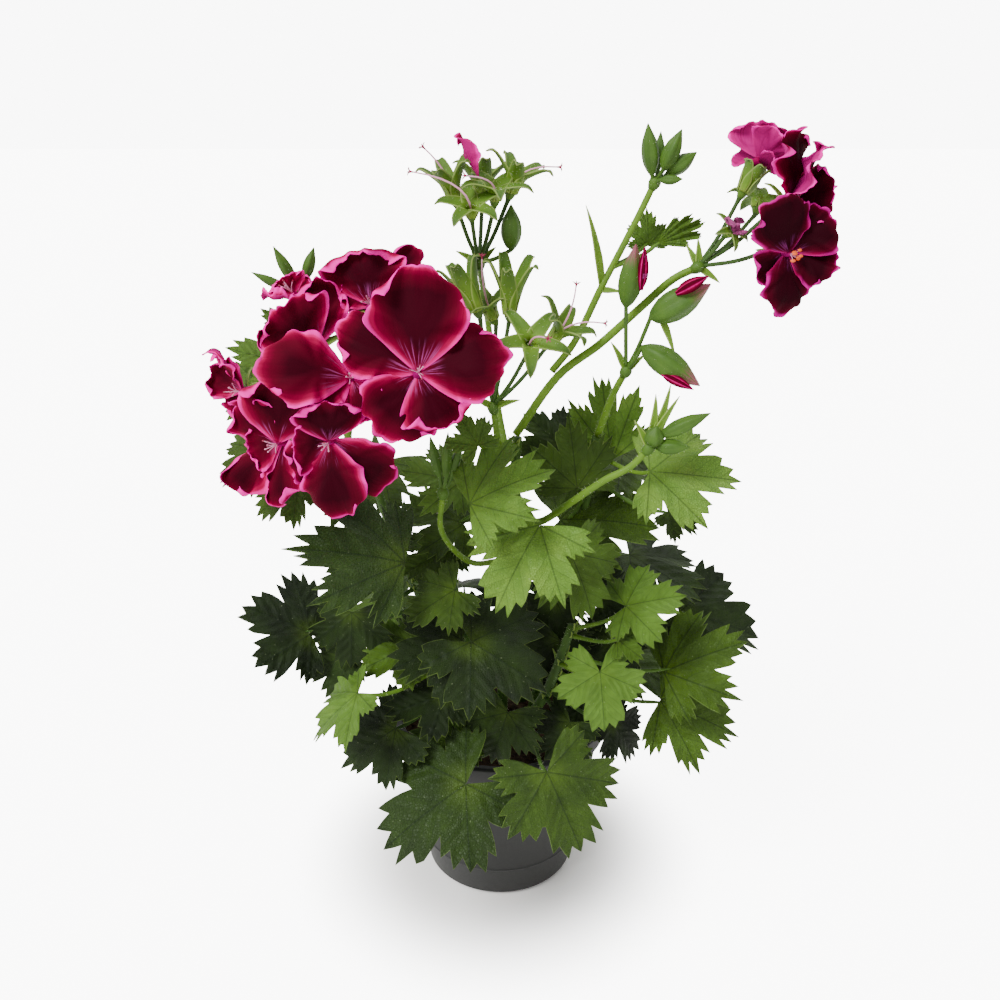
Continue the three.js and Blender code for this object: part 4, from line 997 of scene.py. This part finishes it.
def soil():
    """Soil fills the pot but for a clearance. Its top is lumpy, with crumbs on it."""
    skin = Skin()
    rng = np.random.default_rng(SOIL_SEED)
    foot = POT_WALL + CLEARANCE
    rim = wall_radius(SOIL_LEVEL) - POT_WALL - CLEARANCE
    turns = around(SOIL_SIDES)
    share = np.linspace(1, 0.02, SOIL_RINGS)[:, None]
    x, y = rim * share * np.cos(turns), rim * share * np.sin(turns)
    top = SOIL_LEVEL + SOIL_CROWN * (1 - share**2) + np.zeros_like(x)
    for _ in range(SOIL_LUMPS):
        across, along = rng.normal(0, 0.35, 2)
        lump = rng.uniform(0.1, 0.3) * smooth_step(0, 0.15, 1 - share)
        top += lump * np.sin(across * x + along * y + rng.uniform(0, 6))
    surface = np.stack([x, y, top], axis=2)
    wall = ring_points(wall_radius(foot) - POT_WALL - CLEARANCE, SOIL_SIDES, foot)
    faces = grid_faces(SOIL_RINGS + 1, SOIL_SIDES, closed=True)
    last = SOIL_RINGS * SOIL_SIDES
    faces += [tuple(range(SOIL_SIDES))[::-1], tuple(range(last, last + SOIL_SIDES))]
    skin.add(np.concatenate([wall[None], surface]), faces)
    for _ in range(CRUMBS):
        turn, reach = rng.uniform(0, 2 * math.pi), rim * CRUMB_REACH * math.sqrt(rng.uniform())
        height = SOIL_LEVEL + SOIL_CROWN * (1 - (reach / rim) ** 2)
        crumb(skin, np.array([reach * math.cos(turn), reach * math.sin(turn), height]), rng)
    skin.piece("soil_top", SOIL, "soil", ("soil",))


def crumb(skin, place, rng):
    """A small uneven lump with eight faces"""
    size = rng.uniform(*CRUMB_SIZES)
    corners = np.array([[1, 0, 0], [0, 1, 0], [-1, 0, 0], [0, -1, 0], [0, 0, 1], [0, 0, -1]], float)
    corners = corners * rng.uniform(0.6, 1.2, (6, 1)) + rng.normal(0, 0.12, (6, 3))
    faces = [(0, 1, 4), (1, 2, 4), (2, 3, 4), (3, 0, 4), (1, 0, 5), (2, 1, 5), (3, 2, 5), (0, 3, 5)]
    skin.add(place + corners * size, faces)


# Materials


def colour(red, green, blue):
    """A colour given as it shows on screen, 0 to 255"""
    shown = np.array([red, green, blue]) / 255
    linear = np.where(shown <= 0.04045, shown / 12.92, ((shown + 0.055) / 1.055) ** 2.4)
    return (*linear.tolist(), 1.0)


class Value:
    """An output of a material's nodes, which adds, subtracts and multiplies by nodes of its own"""

    def __init__(self, look, socket):
        self.look, self.socket = look, socket

    def __add__(self, other):
        return self.look.math("ADD", self, other)

    def __sub__(self, other):
        return self.look.math("SUBTRACT", self, other)

    def __rsub__(self, other):
        return self.look.math("SUBTRACT", other, self)

    def __mul__(self, other):
        return self.look.math("MULTIPLY", self, other)


class Look:
    """The look of a material or of the sky, put together node by node. Colours are given as they show on
    screen."""

    def __init__(self, owner, surface="Principled BSDF", **constants):
        owner.use_nodes = True
        self.owner, self.nodes = owner, owner.node_tree.nodes
        self.surface = self.nodes[surface]
        for socket, value in constants.items():
            self.set(socket.replace("_", " "), value)

    def set(self, socket, value):
        self.feed(self.surface.inputs[socket], value)

    def feed(self, target, value):
        if isinstance(value, Value):
            self.owner.node_tree.links.new(value.socket, target)
        else:
            target.default_value = colour(*value) if isinstance(value, tuple) else value

    def node(self, kind, inputs=(), out=0, **settings):
        made = self.nodes.new("ShaderNode" + kind)
        for key, value in settings.items():
            setattr(made, key, value)
        for place, value in dict(inputs).items():
            self.feed(made.inputs[place], value)
        return Value(self, made.outputs[out])

    def mark(self, name):
        return self.node("Attribute", out="Fac", attribute_name=name)

    def math(self, operation, *values):
        return self.node("Math", enumerate(values), operation=operation)

    def between(self, low, high, value):
        """0 below low and 1 over high, with a soft step"""
        inputs = {"Value": value, "From Min": low, "From Max": high}
        return self.node("MapRange", inputs, interpolation_type="SMOOTHSTEP")

    def mixed(self, share, a, b, blend="MIX"):
        return self.node("Mix", {0: share, 6: a, 7: b}, 2, data_type="RGBA", blend_type=blend)

    def ramp(self, share, *stops):
        """Colours along a value, each as its place and its shade"""
        made = self.node("ValToRGB", {0: share})
        elements = made.socket.node.color_ramp.elements
        while len(elements) < len(stops):
            elements.new(0.5)
        for element, (place, *shade) in zip(elements, stops):
            element.position = place
            element.color = colour(*shade)
        return made

    def place(self):
        return self.node("TexCoord", out="Object")

    def form(self):
        """The two coordinates stored in a piece's form"""
        split = self.node("SeparateXYZ", {0: self.node("UVMap", uv_map="Form")})
        return split, Value(self, split.socket.node.outputs[1])

    def vector(self, x, y, z):
        return self.node("CombineXYZ", {0: x, 1: y, 2: z})

    def noise(self, vector, scale, detail=3.0, rough=0.55):
        inputs = {"Vector": vector, "Scale": scale, "Detail": detail, "Roughness": rough}
        return self.node("TexNoise", inputs)

    def bump(self, height, distance, strength=0.5):
        inputs = {"Strength": strength, "Distance": distance, "Height": height}
        self.set("Normal", self.node("Bump", inputs))

    def finish(self, base):
        self.set("Base Color", base)
        return self.owner


def material(name, **constants):
    return Look(bpy.data.materials.new(name), **constants)


def leaf_look():
    look = material("pelargonium leaf", Roughness=0.55, Specular_IOR_Level=0.2)
    u, v = look.form()
    tone, seed, edge, under = map(look.mark, ("tone", "seed", "edge", "under"))
    place = look.place()
    # A leaf's tone is partly its own green and partly painted shade, low for the leaves deep in the foliage
    shade = tone + (look.noise(place, 70, 4) - 0.5) * 0.45
    base = look.ramp(
        shade,
        (0.0, 16, 28, 6), (0.25, 38, 58, 14), (0.5, 62, 88, 18), (0.75, 92, 128, 44), (1.0, 128, 160, 62),
    )
    # The light patch where the veins meet
    reach = look.math("SQRT", u * u + v * v)
    base = look.mixed((1.0 - look.between(0.03, 0.32, reach)) * 0.22, base, (104, 136, 34))
    # Main veins run out along each lobe, and side veins leave them at a slant
    main = 1.0 - look.between(0.003, 0.014, v)
    stray = look.noise(look.vector(u, v, seed * 9.0), 5, 1) * 0.5
    gap = look.math("ABSOLUTE", look.math("FRACT", (u - v * 1.1) * 6.5 + stray) - 0.5)
    side = look.between(0.455, 0.492, gap) * look.between(0.16, 0.3, reach)
    veins = look.math("MAXIMUM", main, side * 0.7)
    base = look.mixed(veins * 0.6, base, look.mixed(0.75, base, (10, 26, 10)))
    # Pale rim, white specks, and a paler underside
    rim = 1.0 - look.between(0.1, 0.45, edge)
    base = look.mixed(rim * 0.25, base, (132, 158, 66))
    specks = look.between(0.81, 0.84, look.noise(place, 1100, 0))
    base = look.mixed(specks * 0.15, base, (190, 205, 160))
    base = look.mixed(under, base, look.mixed(0.55, base, (92, 122, 62)))
    # The relief of the veins, the quilting between them and a fine net
    cells = {"Vector": look.vector(u, v, seed), "Scale": 42.0}
    net = look.node("TexVoronoi", cells, feature="DISTANCE_TO_EDGE")
    relief = look.between(0.0, 0.05, v) * 0.6 + (0.5 - gap) * 0.9 + look.between(0.0, 0.2, net) * 0.25
    look.bump(relief, 0.0014, 0.9)
    return look.finish(base)


def stalk_look():
    look = material("pelargonium stalk", Roughness=0.55, Specular_IOR_Level=0.25)
    u, v = look.form()
    tone, edge, ripe = map(look.mark, ("tone", "edge", "seed"))
    place = look.place()
    shade = tone + (look.noise(place, 160, 3) - 0.5) * 0.3
    base = look.ramp(
        shade,
        (0.0, 22, 40, 14), (0.4, 48, 78, 22), (0.6, 72, 106, 26), (0.8, 98, 134, 30), (1.0, 132, 160, 52),
    )
    streaks = look.noise(look.vector(u * 60.0, v * 2.0, tone), 1.0, 2)
    base = look.mixed(streaks * 0.35, base, look.mixed(0.7, base, (66, 92, 36)))
    # Pale rims of the sepals, and hairs, which have a tone over the others
    rim = 1.0 - look.between(0.1, 0.6, edge)
    base = look.mixed(rim * 0.35, base, (176, 192, 110))
    base = look.mixed(look.between(1.2, 1.3, tone), base, (208, 216, 184))
    # Pink streaks towards the tip of a bud about to open
    pink = look.between(0.62, 0.98, ripe) * look.between(0.35, 0.6, streaks)
    base = look.mixed(pink * 0.8, base, (176, 40, 110))
    look.bump(streaks + look.noise(place, 1800, 2), 0.0002)
    return look.finish(base)


def petal_look():
    look = material("pelargonium petal", Roughness=0.7, Specular_IOR_Level=0.04)
    s, q = look.form()
    edge, under, seed, tone = map(look.mark, ("edge", "under", "seed", "tone"))
    streaks = look.noise(look.vector(q * 26.0, s * 1.6, seed * 40.0), 1.0, 4, 0.6)
    broad = look.noise(look.vector(q * 5.0, s, seed * 20.0), 1.0, 2)
    # The pink rim gives way to near black by way of crimson, sooner on a dark petal
    reach = edge + (streaks - 0.5) * 2.6 + (broad - 0.5) * 3.0
    base = look.ramp(
        reach * (seed * 0.5 + 0.7 + tone) * 0.1,
        (0.0, 240, 0, 152), (0.08, 208, 0, 108), (0.15, 158, 0, 66),
        (0.26, 112, 0, 40), (0.44, 82, 0, 25), (0.9, 50, 0, 14),
    )
    lip = (1.0 - look.between(0.5, 1.6, edge)) * look.between(0.3, 0.6, s)
    base = look.mixed(lip * 0.85, base, (255, 0, 176))
    # Pale feathering at the throat
    feather = look.between(0.52, 0.62, streaks) * (1.0 - look.between(0.1, 0.34, s))
    base = look.mixed(feather * 0.6, base, (190, 84, 160))
    base = look.mixed(tone * 0.75, base, (150, 90, 170), "MULTIPLY")
    # The outside of the petal, with dark veins
    outside = look.mixed(look.between(0.5, 0.7, streaks) * 0.6, (178, 20, 116), (110, 0, 60))
    outside = look.mixed(lip, outside, (255, 10, 180))
    base = look.mixed(under * 0.85, base, outside)
    look.bump(streaks + look.noise(look.place(), 1500, 2) * 0.4, 0.0004, 0.45)
    return look.finish(base)


def withered_look():
    look = material("withered petal", Roughness=0.8, Specular_IOR_Level=0.2, Sheen_Weight=0.1)
    clouds = look.noise(look.place(), 500, 4)
    look.bump(clouds, 0.0006, 0.8)
    return look.finish(look.ramp(clouds, (0.3, 84, 14, 52), (0.7, 186, 78, 146)))


def pistil_look():
    """Dark stigmas, then pink and pale threads, then orange anthers, by the tone of the form"""
    look = material("pelargonium stamen", Roughness=0.5, Specular_IOR_Level=0.3)
    base = look.ramp(
        look.mark("tone") + look.noise(look.place(), 700, 2) * 0.1,
        (0.05, 150, 20, 60), (0.25, 226, 150, 186), (0.5, 238, 205, 205),
        (0.75, 226, 190, 150), (1.0, 226, 92, 36),
    )
    return look.finish(base)


def pot_look():
    look = material("charcoal nursery pot", Specular_IOR_Level=0.4)
    place = look.place()
    grain = look.noise(place, 1400, 2)
    look.set("Roughness", grain * 0.16 + 0.48)
    look.bump(grain, 0.0001, 0.25)
    return look.finish(look.mixed(look.noise(place, 22, 4) * 0.5, (22, 23, 22), (36, 37, 35)))


def soil_look():
    look = material("potting soil", Roughness=0.95, Specular_IOR_Level=0.15)
    crumbs = look.noise(look.place(), 320, 5, 0.7)
    look.bump(crumbs, 0.002, 0.9)
    return look.finish(look.ramp(crumbs, (0.3, 26, 19, 14), (0.55, 58, 43, 32), (0.75, 92, 72, 54)))


def floor_look():
    """A floor that glows for the viewer alone, less so near the pot: the fainter glow there paints a soft
    shadow round the pot, over the one that it casts
    """
    look = material("floor", Roughness=0.9, Specular_IOR_Level=0.1, Emission_Color=(255, 255, 255))
    away = look.node("VectorMath", {0: look.place()}, "Value", operation="LENGTH")
    # The glow fades out towards the pot, which paints a soft shadow round it
    glow = look.math("POWER", look.between(*PAINTED_SHADOW_RADII, away), 2.0) * FLOOR_GLOW
    look.set("Emission Strength", look.node("LightPath", out="Is Camera Ray") * glow)
    return look.finish((251, 249, 246))


LEAF = leaf_look()
STALK = stalk_look()
PETAL = petal_look()
WITHERED = withered_look()
PISTIL = pistil_look()
POT = pot_look()
SOIL = soil_look()

# Where everything grows. A place is two picture coordinates and a distance y, as in seen.

# A leafy stem's path is in millimetres. A leaf is a row: where its stalk meets the blade, the blade's
# tip, the share of the stem at which it starts, and its tone, and then where they differ from the usual
# its spread (1 is flat and open), its roll in degrees, and the way it faces. A tone is partly the leaf's
# own green and partly painted shade: the leaves deep in the foliage have the lowest tones, which paint
# the shadow there.
LEAFY_STEMS = {
    "left_leafy_stem": dict(
        path=[(-14, -2, 54), (-18, -5, 92), (-34, -14, 150), (-50, -20, 200), (-60, -22, 236)],
        leaves=[
            ((405, 563, -58), (281, 534, -64), 0.75, 0.22, 0.72),
            ((300, 480, -44), (250, 512, -50), 0.9, 0.45), ((262, 452, -30), (213, 480, -34), 0.92, 0.5),
            ((292, 366, -12), (230, 346, -16), 0.97, 0.7), ((300, 338, -8), (262, 306, -8), 0.98, 0.6),
            ((262, 392, -20), (204, 382, -24), 0.94, 0.7),
            ((311, 634, -36), (240, 600, -40), 0.55, 0.04, 1.05),
            ((352, 612, -40), (350, 676, -46), 0.6, 0.12, 0.9),
            ((350, 655, -36), (298, 674, -38), 0.5, 0.25), ((415, 645, -40), (356, 668, -54), 0.52, 0.5),
            ((455, 590, -58), (404, 620, -66), 0.62, 0.4),
        ],
    ),
    "front_left_leafy_stem": dict(
        path=[(-8, -18, 54), (-11, -22, 92), (-20, -34, 122), (-26, -40, 150)],
        leaves=[
            ((358, 693, -70), (306, 735, -76), 0.9, 0.7, 1, 30),
            ((396, 728, -60), (334, 768, -64), 0.75, 0.1),
            ((466, 784, -82), (376, 846, -96), 0.5, 0.2, 1.15),
            ((438, 800, -78), (431, 827, -80), 0.45, 0.6, 1, 60),
            ((462, 735, -54), (402, 750, -58), 0.8, 0.5), ((445, 695, -52), (386, 712, -63), 0.95, 0.08),
            ((508, 712, -60), (488, 768, -66), 0.7, 0.22), ((462, 640, -52), (382, 670, -60), 0.98, 0.08),
        ],
    ),
    "front_right_leafy_stem": dict(
        path=[(10, -18, 54), (13, -22, 92), (24, -32, 124), (34, -36, 160)],
        leaves=[
            ((547, 772, -88), (586, 858, -104), 0.4, 0.36, 1.05),
            ((600, 672, -60), (606, 734, -76), 0.8, 0.72, 1.2),
            ((570, 722, -58), (540, 764, -62), 0.6, 0.15), ((612, 722, -46), (642, 757, -48), 0.65, 0.05),
            ((618, 640, -52), (652, 628, -56), 0.95, 0.62),
            ((626, 606, -48), (687, 592, -52), 0.98, 0.68, 1.1),
            ((664, 672, -40), (748, 634, -46), 0.85, 0.46, 0.8),
            ((660, 700, -38), (747, 734, -44), 0.75, 0.5, 0.8),
            ((560, 640, -26), (550, 696, -32), 0.8, 0.1),
        ],
    ),
    "centre_leafy_stem": dict(
        path=[(0, -4, 54), (1, -7, 92), (3, -14, 170), (6, -18, 220), (8, -19, 248)],
        leaves=[
            ((471, 642, -62), (554, 692, -76), 0.5, 0.08, 1.15),
            ((540, 525, -64), (487, 614, -80), 0.8, 0.78, 0.9),
            ((470, 504, -66), (550, 458, -68), 0.85, 0.72, 0.8),
            ((570, 552, -52), (600, 620, -60), 0.7, 0.55), ((478, 446, -58), (458, 412, -56), 0.97, 0.62),
            ((460, 482, -26), (400, 466, -30), 0.92, 0.6), ((464, 524, -18), (402, 500, -20), 0.82, 0.4),
            ((430, 638, -17), (406, 698, -25), 0.44, 0.1), ((448, 550, -20), (398, 572, -30), 0.72, 0.42),
            ((520, 600, -28), (474, 592, -32), 0.6, 0.12),
        ],
    ),
    "right_leafy_stem": dict(
        path=[(14, 0, 54), (17, -3, 92), (32, -10, 160), (40, -16, 215), (44, -18, 248)],
        leaves=[
            ((560, 520, -20), (660, 515, -26), 0.8, 0.5),
            ((613, 459, -14), (598, 374, -8), 0.98, 0.75, 0.55, -25),
            ((577, 488, -32), (570, 416, -24), 0.9, 0.42, 0.8), ((560, 447, -8), (524, 408, 0), 0.95, 0.25),
            ((650, 472, -44), (746, 474, -48), 0.94, 0.78, 0.9),
            ((668, 512, -34), (702, 528, -38), 0.85, 0.35),
            ((680, 612, -8), (766, 630, -12), 0.6, 0.15, 1.05),
            ((590, 690, -28), (566, 738, -34), 0.35, 0.1), ((600, 600, -26), (650, 582, -30), 0.6, 0.2),
            ((556, 600, -16), (530, 652, -22), 0.55, 0.15), ((612, 640, -24), (588, 692, -30), 0.5, 0.12),
        ],
    ),
    "back_left_leafy_stem": dict(
        path=[(-8, 14, 54), (-12, 18, 92), (-26, 34, 150), (-36, 44, 205)],
        ring=dict(seed=37, count=6, low=120, high=232, first=104, last=216, reach=38, length=40),
    ),
    "back_right_leafy_stem": dict(
        path=[(10, 14, 54), (13, 18, 92), (28, 34, 150), (40, 42, 210)],
        ring=dict(seed=2, count=6, low=84, high=240, first=76, last=-44, reach=42, length=44),
    ),
}

# A flower stalk's start is how far along its first length it really begins. What grows on it:
# calyces are the names of the blooms that they sit behind, or rows of place, way they face, lean of the
# sepals in degrees, their length, and a turn in radians; buds are foot, tip and width; bracts are tip,
# width and foot, where they aren't 3 wide from the hub; leaves are as above; styles are the order of
# their calyx and the style's end.
FLOWER_STALKS = {
    "left_head_stalk": dict(
        path=[(347, 462, -22), (348, 436, -22), (350, 420, -22)],
        radius=1.9,
        calyces=[
            "bloom_front", "bloom_top", "bloom_upper_left", "bloom_middle", "bloom_lower",
            "bloom_lower_left", "bloom_far_left", "bloom_curled",
        ],
        buds=[
            ((296, 284, -26), (273, 246, -28), 5), ((290, 290, -24), (251, 272, -26), 4),
            ((305, 280, -24), (314, 247, -24), 5),
        ],
    ),
    "upper_spent_umbel": dict(
        path=[
            (517, 450, -19), (506, 447, -18), (497, 400, -3), (489, 330, 4), (484, 294, -4),
            (479, 264, -24),
        ],
        start=2.6,
        calyces=[
            ((457, 207, -24), (-0.25, -0.1, 1), 35, 17, 0.3),
            ((472, 221, -34), (-0.05, -0.5, 1), 75, 12, 1.2), ((482, 205, -14), (0, 0.3, 1), 40, 16, 0.8),
            ((494, 207, -30), (0.1, -0.2, 1), 70, 13, 2), ((508, 200, -22), (0.35, 0, 1), 45, 17, 0.5),
        ],
        buds=[((511, 250, -26), (511, 204, -26), 8.5)],
        bracts=[((456, 251, -26),), ((496, 247, -22),), ((470, 243, -16),)],
        styles=[(0, (425, 149, -28)), (1, (413, 172, -40)), (4, (557, 167, -24)), (3, (468, 176, -36))],
    ),
    "lower_spent_umbel": dict(
        path=[(516, 460, -19), (506, 456, -25), (498, 440, -28), (493, 407, -32)],
        start=4.2,
        calyces=[
            ((509, 321, -36), (0.05, -0.15, 1), 22, 24, 0.4),
            ((496, 325, -28), (-0.4, -0.1, 1), 60, 15, 1.4),
            ((528, 352, -44), (0.1, -0.7, 0.8), 75, 15, 0.2),
            ((548, 345, -34), (0.6, -0.2, 0.8), 50, 16, 0.9),
            ((480, 318, -36), (-0.4, 0.1, 1), 20, 22, 0.5),
        ],
        bracts=[((472, 398, -38),), ((520, 400, -36),)],
        styles=[(1, (482, 259, -32)), (3, (576, 287, -40)), (2, (546, 338, -62)), (3, (602, 323, -42))],
    ),
    "right_spray_stalk": dict(
        path=[
            (516, 434, -19), (557, 377, -22), (600, 344, -26), (640, 308, -30), (672, 280, -33),
            (698, 267, -34),
        ],
        radius=1.9,
        calyces=[
            "bloom_right_front", "bloom_right_side", ((739, 199, -26), (0.45, 0.1, 0.9), 16, 11),
            "bloom_withered", ((755, 215, -12), (0.3, 0.4, 0.8), 85, 11),
        ],
        bracts=[((698, 238, -32),), ((720, 283, -36),), ((686, 244, -30),)],
    ),
    "top_bud_stalk": dict(
        path=[
            (552, 371, -20), (575, 341, -21), (600, 290, -22), (612, 267, -21), (636, 221, -20),
            (655, 182, -19),
        ],
        buds=[
            ((652, 175, -20), (648, 123, -22), 7), ((658, 170, -14), (661, 131, -12), 4.5),
            ((663, 170, -22), (682, 129, -24), 7), ((667, 174, -20), (697, 152, -22), 7),
            ((660, 180, -24), (683, 179, -28), 4),
        ],
        bracts=[((586, 205, -26), 3.4, (602, 288, -22)), ((622, 292, -26), 2.6, (600, 290, -22))],
        leaves=[
            ((648, 246, -14), (648, 208, -10), 0.6, 0.6, 0.8, 0, (0, -0.9, 0.4)),
            ((656, 244, -18), (706, 220, -20), 0.6, 0.6, 0.25, 0, (0, -0.9, 0.4)),
        ],
    ),
    "middle_bud_stalk": dict(
        path=[(597, 437, -18), (612, 397, -26), (626, 371, -34)],
        start=1.1, radius=1.7, blush=1.0,
        buds=[
            ((626, 307, -39), (636, 244, -40), 9.5), ((650, 319, -40), (711, 284, -43), 12.5),
            ((642, 347, -40), (700, 386, -48), 11.5),
        ],
        bracts=[((611, 342, -36),), ((645, 355, -32),), ((675, 357, -42), 3, (659, 314, -40))],
    ),
    "side_bud_stalk": dict(
        path=[
            (512, 508, -17), (538, 522, -44), (570, 503, -52), (603, 481, -56), (630, 467, -56),
            (649, 448, -56),
        ],
        start=3.3, radius=1.7,
        buds=[
            ((652, 446, -56), (657, 426, -58), 8), ((660, 436, -56), (711, 413, -58), 6.5),
            ((656, 447, -56), (690, 447, -60), 6.5),
        ],
        bracts=[((656, 394, -52), 4), ((671, 384, -50), 4), ((680, 396, -52), 3.4), ((634, 420, -54), 3)],
    ),
    "small_bud_stalk": dict(
        path=[(508, 560, -15), (470, 562, -34), (442, 532, -46), (443, 492, -48)],
        start=3.2, radius=1.4,
        buds=[
            ((440, 478, -48), (430, 436, -50), 4.5), ((446, 478, -50), (448, 432, -52), 4.5),
            ((450, 480, -48), (462, 440, -50), 4),
        ],
    ),
}

# A petal is a row: its tip, its width, the fold of its end in degrees (towards the face, or away where
# negative), and then where they differ from the usual its roll in degrees and its form. A bloom's depth
# darkens its petals, or lightens them where negative, a ripe one shows its anthers, and sepal_length is
# that of its calyx.
BLOOMS = {
    "bloom_front": dict(
        at=(417, 374, -80), facing=(0.15, -0.9, 0.4),
        petals=[
            ((421, 262, -78), 35, 25, -12, dict(wave=0.02)), ((506, 352, -86), 29, -35, 0, dict(wave=0.05)),
            ((338, 322, -76), 26, 20, 0, dict(wave=0.04)), ((446, 431, -93), 26, 95, -10, dict(wave=0.06)),
            ((383, 437, -96), 30, -30, -8),
        ],
    ),
    "bloom_top": dict(
        at=(371, 308, -56), facing=(0, -0.8, 0.6),
        petals=[
            ((362, 250, -52), 31, 125, -12, dict(wave=0.1)), ((421, 248, -46), 15, 60),
            ((343, 288, -52), 14, 60, 10),
        ],
    ),
    "bloom_curled": dict(
        at=(296, 297, -38), facing=(-0.4, -0.5, 0.75),
        petals=[((269, 302, -51), 14, 110), ((282, 277, -38), 16, 100), ((314, 284, -38), 14, 90)],
    ),
    "bloom_upper_left": dict(
        at=(320, 346, -58), facing=(-0.3, -0.8, 0.5),
        petals=[((277, 305, -62), 32, 55, -12), ((325, 279, -52), 20, 80, 20), ((262, 345, -56), 18, 100)],
    ),
    "bloom_middle": dict(
        at=(353, 378, -78), facing=(-0.1, -0.95, 0.3), depth=-0.3,
        petals=[
            ((255, 364, -88), 27, -25, 12, dict(bulge=0.18)), ((372, 421, -88), 20, 60, 20),
            ((302, 398, -88), 18, 40), ((390, 400, -86), 20, -55),
        ],
    ),
    "bloom_lower": dict(
        at=(331, 438, -88), facing=(-0.1, -0.97, -0.1), depth=0.25,
        petals=[
            ((328, 400, -92), 26, 100, 24, dict(bulge=0.2)), ((292, 440, -94), 27, 70),
            ((339, 521, -98), 24, -25), ((388, 490, -90), 28, -45), ((303, 478, -86), 23, 70),
        ],
    ),
    "bloom_lower_left": dict(
        at=(284, 440, -66), facing=(-0.5, -0.85, -0.1),
        petals=[
            ((282, 378, -70), 31, 80, 24), ((240, 398, -62), 24, 60), ((250, 446, -66), 20, 90, 20),
            ((238, 486, -60), 20, 100, 22), ((284, 506, -74), 17, 80),
        ],
    ),
    "bloom_far_left": dict(
        at=(246, 392, -48), facing=(-0.85, -0.4, 0.2),
        petals=[((222, 345, -50), 17, 100), ((217, 374, -38), 17, 115, 24), ((228, 408, -46), 15, 90)],
    ),
    "bloom_right_front": dict(
        at=(785, 251, -44), facing=(0.25, -0.95, -0.1), depth=0.9, ripe=True,
        petals=[
            ((775, 196, -56), 23, 20), ((828, 210, -47), 24, 40, -30), ((836, 268, -48), 20, 35, -20),
            ((786, 314, -54), 18, -30), ((756, 282, -48), 18, 50),
        ],
    ),
    "bloom_right_side": dict(
        at=(786, 203, -34), facing=(0.6, -0.55, 0.5), depth=0.35,
        petals=[((790, 127, -36), 25, 60), ((818, 142, -47), 24, 45, 10), ((838, 190, -40), 25, 70)],
    ),
    "bloom_right_back": dict(
        at=(757, 163, -24), facing=(0.35, 0.75, 0.5),
        petals=[
            ((744, 138, -14), 19, 45, 32), ((765, 121, -22), 26, -30), ((785, 140, -31), 22, 60),
            ((782, 168, -32), 17, 60, 20),
        ],
    ),
    "bloom_withered": dict(
        at=(735, 228, -38), facing=(0.5, -0.6, 0.6), sepal_length=6,
        petals=[((724, 221, -42), 5, 60, 12), ((740, 217, -38), 5, 80), ((742, 236, -41), 7, 90)],
    ),
}

LAST_PETAL = dict(
    at=(478, 176, -30), tip=(463, 131, -32), facing=(-0.6, -0.7, 0.3),
    width=15, fold=-70, roll=-35, ruffle=0.3, form=dict(bulge=-0.1, curl=-0.1),
)

# The petals that show at the tips of the plump buds: foot, tip and width. They are rolled up tight, so
# their ridges are deep and the pink along them is narrow.
TIP_RIDGES = 0.22
TIP_RIM = 2.0
BUD_PETALS = {
    "bud_petals_upper": ((641, 290, -42), (645, 246, -42), 4),
    "bud_petals_middle": ((676, 294, -46), (709, 276, -46), 5),
    "bud_petals_lower": ((662, 374, -47), (694, 390, -53), 4),
}

# The whole plant in its pot

for order, (name, entry) in enumerate(LEAFY_STEMS.items()):
    leafy_stem(name, entry, LEAFY_SEED + order)
for order, (name, entry) in enumerate(FLOWER_STALKS.items()):
    flower_stalk(name, entry, STALK_SEED + order)
for order, (name, entry) in enumerate(BLOOMS.items()):
    bloom(name, entry, BLOOM_SEED + order)
last_petal(**LAST_PETAL)
for name, (root, tip, width) in BUD_PETALS.items():
    tips = Skin()
    swollen_bud(tips, seen(root), seen(tip), width, ridges=TIP_RIDGES, rim=TIP_RIM)
    tips.piece(name + "_tips", PETAL, "petal", (name,))
pot()
soil()

# Floor, light and camera


def floor():
    mesh = bpy.data.meshes.new("floor")
    corners = [(x * FLOOR_REACH, y * FLOOR_REACH, 0) for x, y in ((-1, -1), (1, -1), (1, 1), (-1, 1))]
    mesh.from_pydata(corners, [], [(0, 1, 2, 3)])
    mesh.materials.append(floor_look())
    linked("floor", mesh)


def sun(name, direction, softness, strength):
    data = bpy.data.lights.new(name, "SUN")
    data.angle = math.radians(softness)
    data.energy = strength
    linked(name, data).rotation_euler = Vector(direction).to_track_quat("-Z", "Y").to_euler()


def sky(strength, behind):
    """White light from all round. The camera sees it brighter, as bright as the floor."""
    world = bpy.data.worlds.new("studio")
    look = Look(world, "Background", Color=(255, 255, 255))
    seen_directly = look.node("LightPath", out="Is Camera Ray")
    inputs = {"Value": seen_directly, "To Min": strength, "To Max": behind}
    look.set("Strength", look.node("MapRange", inputs))
    bpy.context.scene.world = world


def camera():
    data = bpy.data.cameras.new("viewer")
    data.sensor_width = SENSOR_WIDTH
    data.lens = EYE_FOCAL * SENSOR_WIDTH / PICTURE_WIDTH
    obj = linked("viewer", data)
    obj.location = Vector(EYE * MM)
    obj.rotation_euler = (math.pi / 2 - EYE_TILT, 0, 0)
    bpy.context.scene.camera = obj


floor()
sun("key", **KEY_SUN)
sun("back", **BACK_SUN)
sky(**SKY)
camera()
